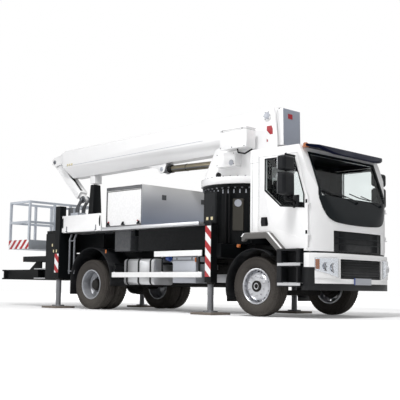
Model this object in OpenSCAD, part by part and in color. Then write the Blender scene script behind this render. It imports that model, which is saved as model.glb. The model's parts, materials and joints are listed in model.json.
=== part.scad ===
// Two-axle truck with a telescopic aerial platform (cherry picker).
// Millimetres. +X forward, +Y to the left, +Z up. The origin is on the ground,
// under the middle of the overall length and width.

/* [Chassis] */
// Distance between the front and rear axles
wheelbase = 4400; // [3600:20:5400]
// Front axle to the foremost point of the bumper
front_overhang = 1340; // [1200:10:1500]
// Rear axle to the rear face of the underrun guard
rear_overhang = 3730; // [3500:10:4600]
// Half of the bodywork width
body_half_w = 1220; // [1190:5:1260]
// Outside half width across the frame rails
rail_out_y = 435; // [400:5:460]
// Frame rail flange width
rail_w = 80; // [60:5:90]
// Height of the frame rails
rail_h = 260; // [200:10:300]
// Top of the frame rails above the ground
rail_top_z = 1000; // [960:10:1080]

/* [Wheels] */
// Tyre outside radius
tyre_r = 505; // [480:5:540]
// Tyre width at the widest point
tyre_w = 280; // [240:5:300]
// Rim radius where the tyre bead sits
bead_r = 286; // [270:2:290]
// Front wheel centre to the middle of the truck
front_track_y = 1040; // [1000:5:1060]
// Outer rear wheel centre to the middle of the truck
rear_outer_y = 1080; // [1060:5:1100]
// Distance between the centres of twin wheels
twin_pitch = 310; // [305:1:330]
// Half of the spindle diameter that carries a wheel
spindle_r = 40; // [30:1:48]
// King pin to the middle of the truck
kingpin_y = 900; // [880:5:905]

/* [Cab] */
// Rear wall of the cab behind the front axle
cab_back = 150; // [120:5:200]
// Half of the cab width
cab_half_w = 1150; // [1100:5:1180]
// Top of the cab roof
roof_z = 2830; // [2700:10:2835]
// Underside of the doors
sill_z = 1130; // [1100:5:1160]
// Thickness of the cab walls and doors
cab_wall = 50; // [35:5:70]
// Gap round the doors and the panels
panel_gap = 5; // [3:1:8]

/* [Platform body] */
// Top of the flat deck
deck_z = 1655; // [1600:5:1720]
// Deck thickness at its edge
deck_t = 65; // [40:5:80]
// Height of the dropside boards above their lower edge
dropside_h = 350; // [250:10:450]
// Length of the dropside boards
dropside_len = 1300; // [1000:10:1400]
// Tool locker length along the truck
locker_len = 1090; // [800:10:1200]
// Tool locker height above the deck
locker_h = 815; // [600:5:900]

/* [Outriggers] */
// Jack leg radius
leg_r = 55; // [45:1:60]
// Gap between a sliding member and its sleeve
slide_gap = 5; // [5:1:8]
// Outside size of the square jack post
post_w = 160; // [150:5:180]
// Side of the square ground pad
pad_w = 500; // [350:10:560]
// Thickness of the ground pad
pad_t = 40; // [25:5:60]

/* [Boom] */
// Turret axis behind the front axle
slew_back = 1250; // [1200:10:1300]
// Boom pivot height
pivot_z = 3610; // [3590:5:3700]
// Boom pivot behind the front axle
pivot_back = 450; // [420:10:500]
// Boom base section half width
boom_half_w = 240; // [200:5:250]
// Boom base section height
boom_h = 670; // [600:5:690]
// Rear tip of the boom base section behind the rear axle
boom_reach = 2400; // [2350:10:2500]
// Nose-up slope of the stowed boom in degrees
boom_slope = 1.1; // [0.8:0.1:1.3]
// Lift cylinder barrel radius
barrel_r = 72; // [60:1:76]
// Jib length between its pins
jib_len = 1412; // [1300:10:1500]
// Jib angle below the boom when folded
jib_fold = 43; // [41:1:45]

/* [Basket] */
// Basket length along the truck
basket_len = 825; // [700:5:900]
// Half of the basket width
basket_half_w = 950; // [700:10:1000]
// Top rail above the ground when stowed
basket_top_z = 2430; // [2350:10:2450]
// Underside of the basket floor when stowed
basket_floor_z = 1310; // [1300:5:1340]

/* [Hidden] */
$fn = 64;
eps = 1;

// Stations along the truck, measured from the front axle.
front_x = (wheelbase + rear_overhang - front_overhang) / 2;
rear_x = -wheelbase;
tail_x = rear_x - rear_overhang;
axle_z = tyre_r;
slew_x = -slew_back;
pivot_x = -pivot_back;
rail_bottom_z = rail_top_z - rail_h;
rail_in_y = rail_out_y - rail_w;

// Cab
nose_x = front_overhang - 50;
corner_drop = 250;
screen_foot = [nose_x - 80, 1950];
screen_top_z = roof_z - 130;
screen_slope = 0.333;
cab_floor_z = 1200;
arch_z = sill_z + 270;
door_rear_x = 40;
door_front_x = nose_x - 220;
door_top_z = roof_z - 140;
door_arch_x = 590;
hinge_x = door_front_x + 3;
hinge_y = cab_half_w + 2;
hinge_r = 9;
hinge_len = 60;
hinge_heights = [1350, 1850];

// Platform body
deck_rear_x = rear_x - 980;
deck_front_x = slew_x - 60;
dropside_t = 25;
dropside_x = deck_rear_x + panel_gap;
drop_hinge_y = body_half_w + 5 + dropside_t + 2.5;
drop_hinge_z = deck_z - 60;
drop_pin_r = 4;
locker_front_x = rear_x + 1460;
locker_half_w = body_half_w - 70;

// Outriggers
post_y = body_half_w - 25;
front_post_x = slew_x + 230;
rear_post_x = rear_x - 1105;
post_top_z = 2170;
front_post_foot_z = 560;
rear_post_foot_z = 630;
jack_top_z = 1700;
load_floor_t = 5;
beam_w = 120;
beam_h = 190;
beam_z = rail_top_z + 30;
beam_offset = 78;
tunnel_wall = 10;
tunnel_end_y = post_y - post_w / 2 - 10;

// Turret and boom
turret_foot_z = 2360;
plate_in_y = boom_half_w + 60;
plate_t = 35;
pivot_r = 60;
lug_x = rear_x + 880;
lug_z = 2930;
cyl_base_x = slew_x + 100;
cyl_base_z = 2890;
cyl_len = norm([lug_x - cyl_base_x, lug_z - cyl_base_z]);
cyl_tilt = atan2(lug_z - cyl_base_z, cyl_base_x - lug_x);
rod_r = 52;
boom_len = pivot_x - (rear_x - boom_reach);
boom_under = 510;
boom_wall = 12;
section_gap = 10;
section_step = boom_wall + section_gap;
jib_pin_x = rear_x - boom_reach - 460;
jib_pin_z = 3430;
jib_half_w = 105;
jib_h = 200;
mount_x = jib_pin_x + jib_len * cos(jib_fold);
mount_z = jib_pin_z - jib_len * sin(jib_fold);

// Basket
basket_front_x = mount_x - 833;
basket_rear_x = basket_front_x - basket_len;
basket_axis_x = basket_front_x + 140;
toe_h = 210;
tube = 50;

// Right and left copies of one part
module both_sides() {
  children();
  mirror([0, 1, 0]) children();
}

module placed() {
  translate([front_x, 0, 0]) children();
}

// Box given by its low and high corners
module block(lo, hi) {
  translate(lo) cube([hi[0] - lo[0], hi[1] - lo[1], hi[2] - lo[2]]);
}

// Cylinder along Y, between two values of y
module y_rod(x, z, r, y0, y1) {
  translate([x, y1, z]) rotate([90, 0, 0]) cylinder(h = y1 - y0, r = r);
}

// Cylinder along X
module x_rod(y, z, r, x0, x1) {
  translate([x0, y, z]) rotate([0, 90, 0]) cylinder(h = x1 - x0, r = r);
}

// Outline in X and Z, pushed from y0 to y1
module side_sheet(points, y0, y1) {
  translate([0, y1, 0]) rotate([90, 0, 0]) linear_extrude(y1 - y0) polygon(points);
}

// Solid turned about the Y axis through x, z from an outline of radius and y
module turned(x, z, points) {
  translate([x, 0, z]) rotate([-90, 0, 0]) rotate_extrude() polygon(points);
}

// ---- running gear ----

function tyre_half() = [[bead_r, 100], [302, 100], [330, tyre_w * 0.45],
  [395, tyre_w / 2], [tyre_r - 50, tyre_w * 0.475], [tyre_r - 15, tyre_w * 0.41],
  [tyre_r, tyre_w * 0.35]];

function tyre_outline(y) = concat(
  [for (p = tyre_half()) [p[0], y - p[1]]],
  [for (i = [6:-1:0]) [tyre_half()[i][0], y + tyre_half()[i][1]]]);

// Barrel with flanges; y is its middle
function barrel_outline(y) = [[276, y - 112], [300, y - 112], [300, y - 100],
  [bead_r, y - 100], [bead_r, y + 100], [300, y + 100], [300, y + 112], [276, y + 112]];

module front_rim_shape() {
  y = front_track_y;
  difference() {
    union() {
      turned(0, axle_z, barrel_outline(y));
      turned(0, axle_z, [[spindle_r + 1, y + 84], [190, y + 84], [225, y + 60],
        [255, y + 20], [277, y + 5], [277, y + 21], [262, y + 34], [232, y + 76],
        [195, y + 100], [spindle_r + 1, y + 100]]);
      turned(0, axle_z, [[spindle_r + 1, y - 40], [80, y - 40], [80, y + 118],
        [spindle_r + 1, y + 118]]);
    }
    for (a = [0:36:324])
      translate([0, 0, axle_z]) rotate([0, a, 0]) y_rod(246, 0, 14, y, y + 110);
  }
}

module rear_rims_shape() {
  outer = rear_outer_y;
  inner = rear_outer_y - twin_pitch;
  middle = (outer + inner) / 2;
  difference() {
    union() {
      turned(rear_x, axle_z, barrel_outline(outer));
      turned(rear_x, axle_z, barrel_outline(inner));
      turned(rear_x, axle_z, [[spindle_r + 1, middle - 14], [225, middle - 14],
        [277, middle - 70], [277, middle - 52], [238, middle], [277, middle + 52],
        [277, middle + 70], [225, middle + 14], [spindle_r + 1, middle + 14]]);
      turned(rear_x, axle_z, [[spindle_r + 1, middle - 120], [115, middle - 120],
        [115, middle + 120], [spindle_r + 1, middle + 120]]);
    }
    for (a = [0:36:324])
      translate([rear_x, 0, axle_z]) rotate([0, a, 0])
        y_rod(200, 0, 17, middle - 40, middle + 40);
  }
}

module knuckle_shape() {
  plate_y = kingpin_y + 60;
  hub_y = front_track_y - 40;
  for (z = [axle_z - 125, axle_z + 70]) {
    difference() {
      union() {
        translate([0, kingpin_y, z]) cylinder(h = 55, r = 50);
        block([-50, kingpin_y, z], [50, plate_y + eps, z + 55]);
      }
      translate([0, kingpin_y, z - eps]) cylinder(h = 57, r = 25);
    }
  }
  translate([0, kingpin_y, axle_z - 125]) cylinder(h = 250, r = 25);
  block([-60, plate_y, axle_z - 125], [60, plate_y + 25, axle_z + 125]);
  y_rod(0, axle_z, spindle_r, plate_y, front_track_y + 110);
  y_rod(0, axle_z, 195, plate_y + 2, plate_y + 15);
}

module axle_springs(x, seat_z) {
  both_sides() {
    for (i = [0:2])
      block([x - 750 + 190 * i, rail_in_y + 5, seat_z + 60 - 20 * i],
        [x + 750 - 190 * i, rail_out_y - 5, seat_z + 81 - 20 * i]);
    block([x - 60, rail_in_y + 5, seat_z - 60], [x + 60, rail_out_y - 5, seat_z + 25]);
    for (e = [-750, 700])
      block([x + e, rail_in_y + 5, seat_z + 70], [x + e + 50, rail_out_y - 5, rail_bottom_z]);
  }
}

module front_axle() {
  color("dimgray") placed() {
    both_sides() difference() {
      union() {
        block([-45, 560, axle_z - 60], [45, kingpin_y, axle_z + 20]);
        translate([0, kingpin_y, axle_z - 60]) cylinder(h = 120, r = 50);
        block([-45, 480, axle_z - 150], [45, 600, axle_z + 20]);
      }
      translate([0, kingpin_y, axle_z - 61]) cylinder(h = 122, r = 26);
    }
    block([-45, -481, axle_z - 150], [45, 481, axle_z - 60]);
    both_sides() block([-60, rail_in_y + 5, axle_z - 61], [60, rail_out_y - 5, axle_z + 60]);
    axle_springs(0, axle_z + 80);
  }
}

module rear_axle() {
  color("dimgray") placed() {
    y_rod(rear_x, axle_z, 75, -625, 625);
    both_sides() y_rod(rear_x, axle_z, spindle_r, 620, rear_outer_y - 35);
    translate([rear_x, 0, axle_z]) sphere(r = 185);
    x_rod(0, axle_z, 90, rear_x, rear_x + 330);
    x_rod(0, axle_z + 20, 45, rear_x + 320, -900);
    axle_springs(rear_x, axle_z + 80);
  }
}

module engine_block() {
  color("gray") placed() {
    block([-600, -330, axle_z + 110], [650, 330, sill_z - 15]);
    block([-900, -180, axle_z - 40], [-600, 180, 900]);
  }
}

module chassis_frame() {
  color("black") placed() {
    both_sides() difference() {
      block([tail_x + 1030, rail_in_y, rail_bottom_z], [nose_x - 330, rail_out_y, rail_top_z]);
      block([tail_x, rail_in_y - eps, rail_bottom_z + 12],
        [nose_x, rail_out_y - 12, rail_top_z - 12]);
    }
    for (x = [nose_x - 400, slew_x - 500, rear_x + 900, rear_x - 500, rear_x - 1600, tail_x + 1040])
      block([x, -rail_out_y + 6, rail_bottom_z + 20], [x + 60, rail_out_y - 6, rail_top_z - 20]);
  }
}

module knuckle_right() { color("dimgray") placed() mirror([0, 1, 0]) knuckle_shape(); }
module knuckle_left() { color("dimgray") placed() knuckle_shape(); }

module front_tyre() { color([0.1, 0.1, 0.1]) turned(0, axle_z, tyre_outline(front_track_y)); }
module front_tyre_right() { placed() mirror([0, 1, 0]) front_tyre(); }
module front_tyre_left() { placed() front_tyre(); }
module front_rim_right() { color("silver") placed() mirror([0, 1, 0]) front_rim_shape(); }
module front_rim_left() { color("silver") placed() front_rim_shape(); }

module rear_tyres() {
  color([0.1, 0.1, 0.1]) {
    turned(rear_x, axle_z, tyre_outline(rear_outer_y));
    turned(rear_x, axle_z, tyre_outline(rear_outer_y - twin_pitch));
  }
}
module rear_tyres_right() { placed() mirror([0, 1, 0]) rear_tyres(); }
module rear_tyres_left() { placed() rear_tyres(); }
module rear_rims_right() { color("silver") placed() mirror([0, 1, 0]) rear_rims_shape(); }
module rear_rims_left() { color("silver") placed() rear_rims_shape(); }

// ---- cab ----

// Half of the cab's outline seen from above, pulled in by t
function plan_half(t, nose) = concat([[-cab_back + t, 0], [-cab_back + t, cab_half_w - t]],
  [for (i = [12:-1:0]) let (y = (cab_half_w - t) * i / 12)
    [nose - t - corner_drop * pow(y / (cab_half_w - t), 4), y]]);

module plan_solid(t, nose, z0, z1) {
  translate([0, 0, z0]) linear_extrude(z1 - z0) {
    polygon(plan_half(t, nose));
    mirror([0, 1]) polygon(plan_half(t, nose));
  }
}

function cab_side(t) = [[-cab_back + t, arch_z + t], [-cab_back + t, roof_z - t],
  [nose_x - 405 - t, roof_z - t], [screen_foot[0] - 265 - t, screen_top_z],
  [screen_foot[0] - t, screen_foot[1]], [nose_x - 10 - t, 1650], [nose_x - t, 1400],
  [nose_x - t, cab_floor_z - 120 + t * 2.4], [door_arch_x + 400, cab_floor_z - 120 + t * 2.4],
  [door_arch_x + 400, sill_z + t], [door_arch_x + t * 0.4, sill_z + t], [330 + t * 0.4, arch_z + t]];

function door_outline(g) = [[door_rear_x + g, arch_z + 10 + g], [door_rear_x + g, door_top_z - g],
  [door_front_x - 215 - g, door_top_z - g], [door_front_x - g, 1950],
  [door_front_x - g, sill_z + 8 + g], [door_arch_x + 12 + g, sill_z + 8 + g],
  [342 + g, arch_z + 10 + g]];

function door_window(g) = [[180 + g, 2120], [180 + g, door_top_z - 50 - g],
  [door_front_x - 270 - g, door_top_z - 50 - g], [door_front_x - 80 - g, 2000],
  [door_front_x - 80 - g, 1790 + g], [510, 1835 + g]];

module cab_body(t) {
  intersection() {
    side_sheet(cab_side(t), -cab_half_w + t, cab_half_w - t);
    plan_solid(t, nose_x, sill_z - 100, roof_z + 10);
  }
}

// The sloping face that the windscreen lies in, between two depths
module screen_slab(outer, inner, half_w, z0, z1) {
  foot = screen_foot[0];
  side_sheet([for (p = [[outer, z0], [outer, z1], [inner, z1], [inner, z0]])
    [foot - p[0] - (p[1] - screen_foot[1]) * 265 / (screen_top_z - screen_foot[1]), p[1]]],
    -half_w, half_w);
}

module cab_shell() {
  color("white") placed() {
    difference() {
      cab_body(0);
      cab_body(cab_wall);
      both_sides() side_sheet(door_outline(0), cab_half_w - cab_wall - 60, cab_half_w + 10);
      screen_slab(-60, 350, cab_half_w - 210, screen_foot[1] + 30, screen_top_z - 20);
      block([-cab_back - 10, -620, 2050], [-cab_back + cab_wall + 10, 620, 2600]);
      block([nose_x - 110, -700, 1080], [nose_x + 10, 700, 1420]);
    }
    both_sides() side_sheet([[-290, 1340], [-230, 1340], [-190, 1385], [300, 1385], [570, 1122],
      [615, 1122], [330, arch_z - 2], [-240, arch_z - 2]], cab_half_w, cab_half_w + 80);
    // cab halves of the door hinges
    both_sides() for (z = hinge_heights) {
      block([door_front_x + 1, cab_half_w - 45, z - 22], [hinge_x + 27, hinge_y + hinge_r, z - 2]);
      translate([hinge_x, hinge_y, z - 10]) cylinder(h = hinge_len + 8, r = hinge_r / 2);
    }
  }
}

module cab_glass() {
  color([0.1, 0.12, 0.15, 0.6]) placed() {
    intersection() {
      screen_slab(8, 16, cab_half_w - 212, screen_foot[1] + 32, screen_top_z - 22);
      plan_solid(10, nose_x, sill_z, roof_z);
    }
    block([-cab_back + 20, -618, 2052], [-cab_back + 28, 618, 2598]);
  }
}

module dashboard() {
  color([0.2, 0.2, 0.22]) placed() {
    side_sheet([[850, 1330], [870, 1800], [940, 1880], [1040, 1880], [1080, 1700], [1080, 1330]],
      -850, 850);
    block([640, -300, sill_z + cab_wall], [860, 300, 1420]);
    translate([880, 520, 1700]) rotate([0, -50, 0]) cylinder(h = 220, r = 22);
    translate([720, 520, 1835]) rotate([0, -50, 0]) rotate_extrude() translate([205, 0])
      circle(r = 16, $fn = 24);
    translate([720, 520, 1835]) rotate([0, -50, 0]) {
      translate([-203, -14, -8]) cube([406, 28, 16]);
      cylinder(h = 30, r = 50, center = true);
    }
  }
}

module seats() {
  color([0.25, 0.26, 0.28]) placed() for (y = [-520, 520]) {
    block([60, y - 230, arch_z + cab_wall], [460, y + 230, 1700]);
    block([20, y - 240, 1700], [500, y + 240, 1790]);
    block([20, y - 230, 1790], [130, y + 230, 2330]);
    block([35, y - 130, 2330], [115, y + 130, 2500]);
  }
}

module front_bumper() {
  color("white") placed() {
    difference() {
      plan_solid(0, front_overhang, 450, 1050);
      plan_solid(60, front_overhang, 440, 1060);
      block([-cab_back - 10, -1300, 400], [940, 1300, 1100]);
      both_sides() block([nose_x - 200, 660, 670], [nose_x + 60, 1040, 960]);
      block([nose_x - 100, -600, 640], [nose_x + 60, 600, 960]);
    }
    // brackets that carry it on the frame
    both_sides() {
      block([nose_x - 330, rail_in_y, 560], [nose_x - 290, rail_out_y, rail_top_z - 20]);
      block([nose_x - 330, rail_in_y, 560], [nose_x, rail_out_y, 630]);
    }
  }
}

module grille() {
  color("black") placed() {
    intersection() {
      difference() {
        plan_solid(8, nose_x, 1082, 1418);
        plan_solid(60, nose_x, 1000, 1500);
      }
      block([nose_x - 105, -698, 1082], [nose_x + 10, 698, 1418]);
    }
    intersection() {
      difference() {
        plan_solid(20, front_overhang, 642, 958);
        plan_solid(60, front_overhang, 600, 1000);
      }
      block([nose_x - 98, -598, 642], [nose_x + 60, 598, 958]);
    }
  }
}

module lights() {
  color([0.85, 0.87, 0.9]) placed() both_sides() {
    intersection() {
      difference() {
        plan_solid(6, front_overhang, 672, 958);
        plan_solid(60, front_overhang, 600, 1000);
      }
      block([nose_x - 198, 662, 672], [nose_x + 60, 1038, 958]);
    }
  }
  color([0.9, 0.45, 0.1]) placed() {
    both_sides() block([tail_x + 1070, 885, 1005], [tail_x + 1100, 1095, 1115]);
    translate([960, -1060, roof_z - 30]) cylinder(h = 95, r = 45);
  }
}

module cab_steps() {
  color([0.12, 0.12, 0.13]) placed() both_sides() {
    difference() {
      block([500, 930, 500], [935, body_half_w + 20, 1115]);
      translate([0, kingpin_y, 400]) cylinder(h = 800, r = 585, $fn = 96);
      block([600, 1050, 560], [905, 1300, 820]);
      block([600, 1050, 880], [905, 1300, 1080]);
    }
    block([760, rail_out_y, 760], [860, 931, 860]);
  }
}

// Curved guard over a wheel, from angle a0 to a1 above the horizontal
module guard_arc(x, z, r, t, a0, a1, y0, y1) {
  side_sheet(concat([for (a = [a0:6:a1]) [x + r * cos(a), z + r * sin(a)]],
    [for (a = [a1:-6:a0]) [x + (r + t) * cos(a), z + (r + t) * sin(a)]]), y0, y1);
}

module mudguards() {
  color([0.08, 0.08, 0.09]) placed() both_sides() {
    guard_arc(0, axle_z, 620, 12, 54, 198, 760, body_half_w + 10);
    block([-602, 760, 240], [-590, body_half_w + 10, 330]);
    guard_arc(rear_x, 600, 645, 12, 0, 180, 620, body_half_w + 10);
    block([rear_x - 657, 620, 300], [rear_x - 645, body_half_w + 10, 601]);
    block([rear_x + 645, 620, 480], [rear_x + 657, body_half_w + 10, 601]);
    block([rear_x - 20, rail_out_y, 1200], [rear_x + 20, 700, 1250]);
    block([rear_x - 20, rail_out_y, rail_top_z - 30], [rear_x + 20, rail_out_y + 30, 1201]);
    block([-20, rail_out_y, 1085], [20, 900, 1127]);
    block([-20, rail_out_y, rail_top_z - 30], [20, rail_out_y + 30, 1086]);
  }
}

module sun_visor() {
  color([0.1, 0.12, 0.2]) placed() difference() {
    intersection() {
      side_sheet([[895, roof_z - 40], [1010, roof_z - 4], [1150, roof_z - 12], [1255, roof_z - 130],
        [1235, roof_z - 150], [1130, roof_z - 60], [990, roof_z - 40]], -1130, 1130);
      plan_solid(0, front_overhang - 80, sill_z, roof_z + 20);
    }
    cab_body(-1);
    block([880, -1140, roof_z - 60], [1012, -1008, roof_z + 60]);
  }
}

module door_shape() {
  difference() {
    side_sheet(door_outline(panel_gap), cab_half_w - cab_wall, cab_half_w);
    side_sheet(door_window(0), cab_half_w - cab_wall - 10, cab_half_w + 10);
  }
  for (z = hinge_heights) difference() {
    union() {
      translate([hinge_x, hinge_y, z]) cylinder(h = hinge_len, r = hinge_r);
      block([door_front_x - 45, cab_half_w - 6, z], [hinge_x, hinge_y + 4, z + hinge_len]);
    }
    translate([hinge_x, hinge_y, z - 5]) cylinder(h = hinge_len + 10, r = hinge_r / 2 + 1);
  }
  // mirror arms and housings
  translate([800, cab_half_w + 230, 1890]) cylinder(h = 770, r = 16);
  block([784, cab_half_w - 1, 2620], [816, cab_half_w + 246, 2652]);
  block([784, cab_half_w, 1875], [816, cab_half_w + 246, 1907]);
  block([784, cab_half_w, 1890], [900, cab_half_w + 20, 1990]);
  block([850, cab_half_w - 1, 1790], [900, cab_half_w + 20, 1990]);
  block([784, cab_half_w - 1, 1780], [816, cab_half_w + 20, 1900]);
  difference() {
    union() {
      block([745, cab_half_w + 190, 1985], [835, cab_half_w + 370, 2330]);
      block([745, cab_half_w + 190, 2385], [835, cab_half_w + 370, 2600]);
    }
    block([700, cab_half_w + 205, 2000], [757, cab_half_w + 355, 2315]);
    block([700, cab_half_w + 205, 2400], [757, cab_half_w + 355, 2585]);
  }
}

module door_right() { color("white") placed() mirror([0, 1, 0]) door_shape(); }
module door_left() { color("white") placed() door_shape(); }
module door_glass() {
  color([0.15, 0.2, 0.22, 0.6])
    side_sheet(door_window(1), cab_half_w - 26, cab_half_w - 20);
}
module door_glass_right() { placed() mirror([0, 1, 0]) door_glass(); }
module door_glass_left() { placed() door_glass(); }

// ---- platform body ----

module bed_deck() {
  color([0.85, 0.86, 0.87]) placed() {
    // hinge pins of the dropsides
    both_sides() {
      x_rod(drop_hinge_y, drop_hinge_z, drop_pin_r, dropside_x + 80, dropside_x + dropside_len - 80);
      for (x = [dropside_x + 80, dropside_x + dropside_len - 100])
        block([x, body_half_w - 10, drop_hinge_z - 4], [x + 15, drop_hinge_y, drop_hinge_z + 2]);
    }
    difference() {
      block([deck_rear_x, -body_half_w, deck_z - deck_t], [deck_front_x, body_half_w, deck_z]);
      translate([slew_x, 0, deck_z - deck_t - 10]) cylinder(h = deck_t + 20, r = 830);
    }
    // raised load floor between the dropsides
    block([deck_rear_x + 20, 10 - body_half_w, deck_z - 1],
      [locker_front_x - locker_len - 20, body_half_w - 10, deck_z + load_floor_t]);
    both_sides() {
      block([deck_rear_x, rail_in_y, rail_top_z], [slew_x - 850, rail_out_y, deck_z - deck_t]);
      block([locker_front_x - 200, body_half_w - 190, 1160],
        [deck_front_x - 5, body_half_w - 182, deck_z - deck_t]);
      for (x = [locker_front_x + 60, rear_x + 1080])
        block([x, rail_out_y, 1470], [x + 60, body_half_w - 190, deck_z - deck_t]);
    }
  }
}

module dropside_shape() {
  translate([dropside_x, body_half_w + 5, deck_z - 55])
    cube([dropside_len, dropside_t, dropside_h]);
  for (x = [dropside_x + 100, dropside_x + dropside_len - 160]) difference() {
    x_rod(drop_hinge_y, drop_hinge_z, 2 * drop_pin_r + 1, x, x + 60);
    x_rod(drop_hinge_y, drop_hinge_z, drop_pin_r + 1, x - 5, x + 65);
  }
}
module dropside_right() { color("white") placed() mirror([0, 1, 0]) dropside_shape(); }
module dropside_left() { color("white") placed() dropside_shape(); }

module tool_locker() {
  x0 = locker_front_x - locker_len;
  wall = 25;
  color([0.6, 0.62, 0.65]) placed() difference() {
    block([x0, -locker_half_w, deck_z], [locker_front_x, locker_half_w, deck_z + locker_h]);
    block([x0 + wall, -locker_half_w - 10, deck_z + wall],
      [locker_front_x - wall, locker_half_w + 10, deck_z + locker_h - wall - 60]);
    block([x0 + wall, -locker_half_w + 60, deck_z + wall],
      [locker_front_x - wall, locker_half_w - 60, deck_z + locker_h - wall]);
  }
}

module locker_shutters() {
  x0 = locker_front_x - locker_len + 25;
  color("white") placed() both_sides()
    block([x0, locker_half_w - 28, deck_z + 25],
      [locker_front_x - 25, locker_half_w - 10, deck_z + locker_h - 85]);
}

module boom_rest() {
  rest_x = rear_x - 1450;
  color([0.1, 0.1, 0.11]) placed() {
    hull() {
      block([rest_x - 100, -155, deck_z], [rest_x + 100, 155, deck_z + 20]);
      block([rest_x - 70, -95, 2750], [rest_x + 70, 95, 2784]);
    }
  }
}

module underbed_boxes() {
  color([0.35, 0.36, 0.38]) placed() {
    both_sides() {
      block([rear_x + 520, 700, 1170], [rear_x + 1000, body_half_w - 195, deck_z - deck_t]);
      block([slew_x - 790, 700, 550], [slew_x - 190, body_half_w - 70, 1030]);
      block([slew_x - 700, rail_out_y, 800], [slew_x - 300, 700, 900]);
      block([rear_x + 650, rail_out_y, 1300], [rear_x + 850, 700, 1400]);
    }
    block([rear_x + 970, 620, 520], [rear_x + 1830, body_half_w - 70, 1010]);
    block([rear_x + 1100, rail_out_y, 800], [rear_x + 1700, 620, 900]);
  }
}

// Outline with round corners in Y and Z
module rounded_bar(x0, x1, y0, y1, z0, z1, r) {
  block([x0, y0 + r, z0], [x1, y1 - r, z1]);
  block([x0, y0, z0 + r], [x1, y1, z1 - r]);
  for (y = [y0 + r, y1 - r], z = [z0 + r, z1 - r]) x_rod(y, z, r, x0, x1);
}

module fuel_tank() {
  color("silver") placed() mirror([0, 1, 0]) {
    rounded_bar(rear_x + 970, rear_x + 1830, 620, body_half_w - 75, 510, 1010, 70);
    block([rear_x + 1100, rail_out_y, 800], [rear_x + 1700, 640, 900]);
  }
}

module side_guards() {
  color("white") placed() both_sides() {
    block([rear_x + 665, body_half_w - 35, 650], [slew_x + 15, body_half_w - 10, 750]);
    block([rear_x + 1900, body_half_w - 35, 1035], [slew_x + 10, body_half_w - 10, 1140]);
    for (x = [rear_x + 2080, slew_x - 100]) {
      block([x, body_half_w - 60, 660], [x + 40, body_half_w - 35, 1130]);
      block([x, rail_out_y, 890], [x + 40, body_half_w - 60, 930]);
    }
    block([rear_x + 690, body_half_w - 60, 660], [rear_x + 730, body_half_w - 35, 930]);
    block([rear_x + 690, rail_out_y, 890], [rear_x + 730, body_half_w - 60, 930]);
  }
}

// Square post that a jack leg slides in
module jack_post(x, z0) {
  block([x - post_w / 2, post_y - post_w / 2, z0], [x + post_w / 2, post_y + post_w / 2, post_top_z]);
}

module leg_bore(x, z0) {
  translate([x, post_y, z0 - eps]) cylinder(h = post_top_z - z0 - 20, r = leg_r + slide_gap);
}

module rear_body() {
  x1 = rear_x - 1555;
  color([0.08, 0.08, 0.09]) placed() difference() {
    rear_body_solid(x1);
    both_sides() leg_bore(rear_post_x, rear_post_foot_z);
  }
}

module rear_body_solid(x1) {
  union() {
    both_sides() {
      jack_post(rear_post_x, rear_post_foot_z);
      block([x1, 800, 600], [rear_post_x - post_w / 2, body_half_w + 20, deck_z - deck_t]);
      block([rear_post_x - 90, 800, 600], [rear_post_x + post_w / 2, post_y - post_w / 2, deck_z - deck_t]);
      block([rear_post_x - 80, rail_out_y, rail_bottom_z], [rear_post_x + 40, 801, rail_top_z]);
      block([tail_x + 90, 800, 605], [rear_x - 720, 860, 830]);
      block([tail_x + 1100, 880, 1000], [x1, 1100, 1120]);
      side_sheet([[tail_x + 1000, 829], [tail_x + 1250, 1001], [tail_x + 1450, 1001],
        [tail_x + 1450, 829]], 810, 850);
      block([tail_x + 1100, 810, 1000], [tail_x + 1500, 881, 1040]);
      block([tail_x + 1040, rail_out_y, 760], [tail_x + 1120, 801, 820]);
    }
    block([x1, -body_half_w, deck_z - deck_t], [deck_rear_x, body_half_w, deck_z]);
    block([tail_x + 1240, -980, rail_top_z], [x1, 980, rail_top_z + 120]);
    block([tail_x + 1290, -300, rail_top_z + 119], [tail_x + 1620, 300, 1220]);
    difference() {
      block([tail_x, -940, 605], [tail_x + 100, 940, 830]);
      block([tail_x - 10, -960, 640], [tail_x + 60, 960, 795]);
    }
  }
}

module pedestal() {
  r = 780;
  tunnel_lo = beam_z - slide_gap;
  tunnel_hi = beam_z + beam_h + slide_gap;
  color([0.07, 0.07, 0.08]) placed() difference() {
    union() {
      translate([slew_x, 0, 1260]) cylinder(h = 1050, r = r, $fn = 96);
      translate([slew_x, 0, 2300]) cylinder(h = turret_foot_z - 5 - 2300, r = r + 50, $fn = 96);
      block([slew_x - 600, -rail_out_y, rail_top_z], [slew_x + 600, rail_out_y, 1261]);
      block([front_post_x - beam_offset - beam_w / 2 - slide_gap - tunnel_wall, -tunnel_end_y, rail_top_z],
        [front_post_x + beam_offset + beam_w / 2 + slide_gap + tunnel_wall, tunnel_end_y, 1250]);
    }
    translate([slew_x, 0, 1300]) cylinder(h = 1100, r = r - 30, $fn = 96);
    for (s = [-1, 1])
      block([front_post_x + s * beam_offset - beam_w / 2 - slide_gap, -tunnel_end_y - 10, tunnel_lo],
        [front_post_x + s * beam_offset + beam_w / 2 + slide_gap, tunnel_end_y + 10, tunnel_hi]);
  }
}

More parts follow.
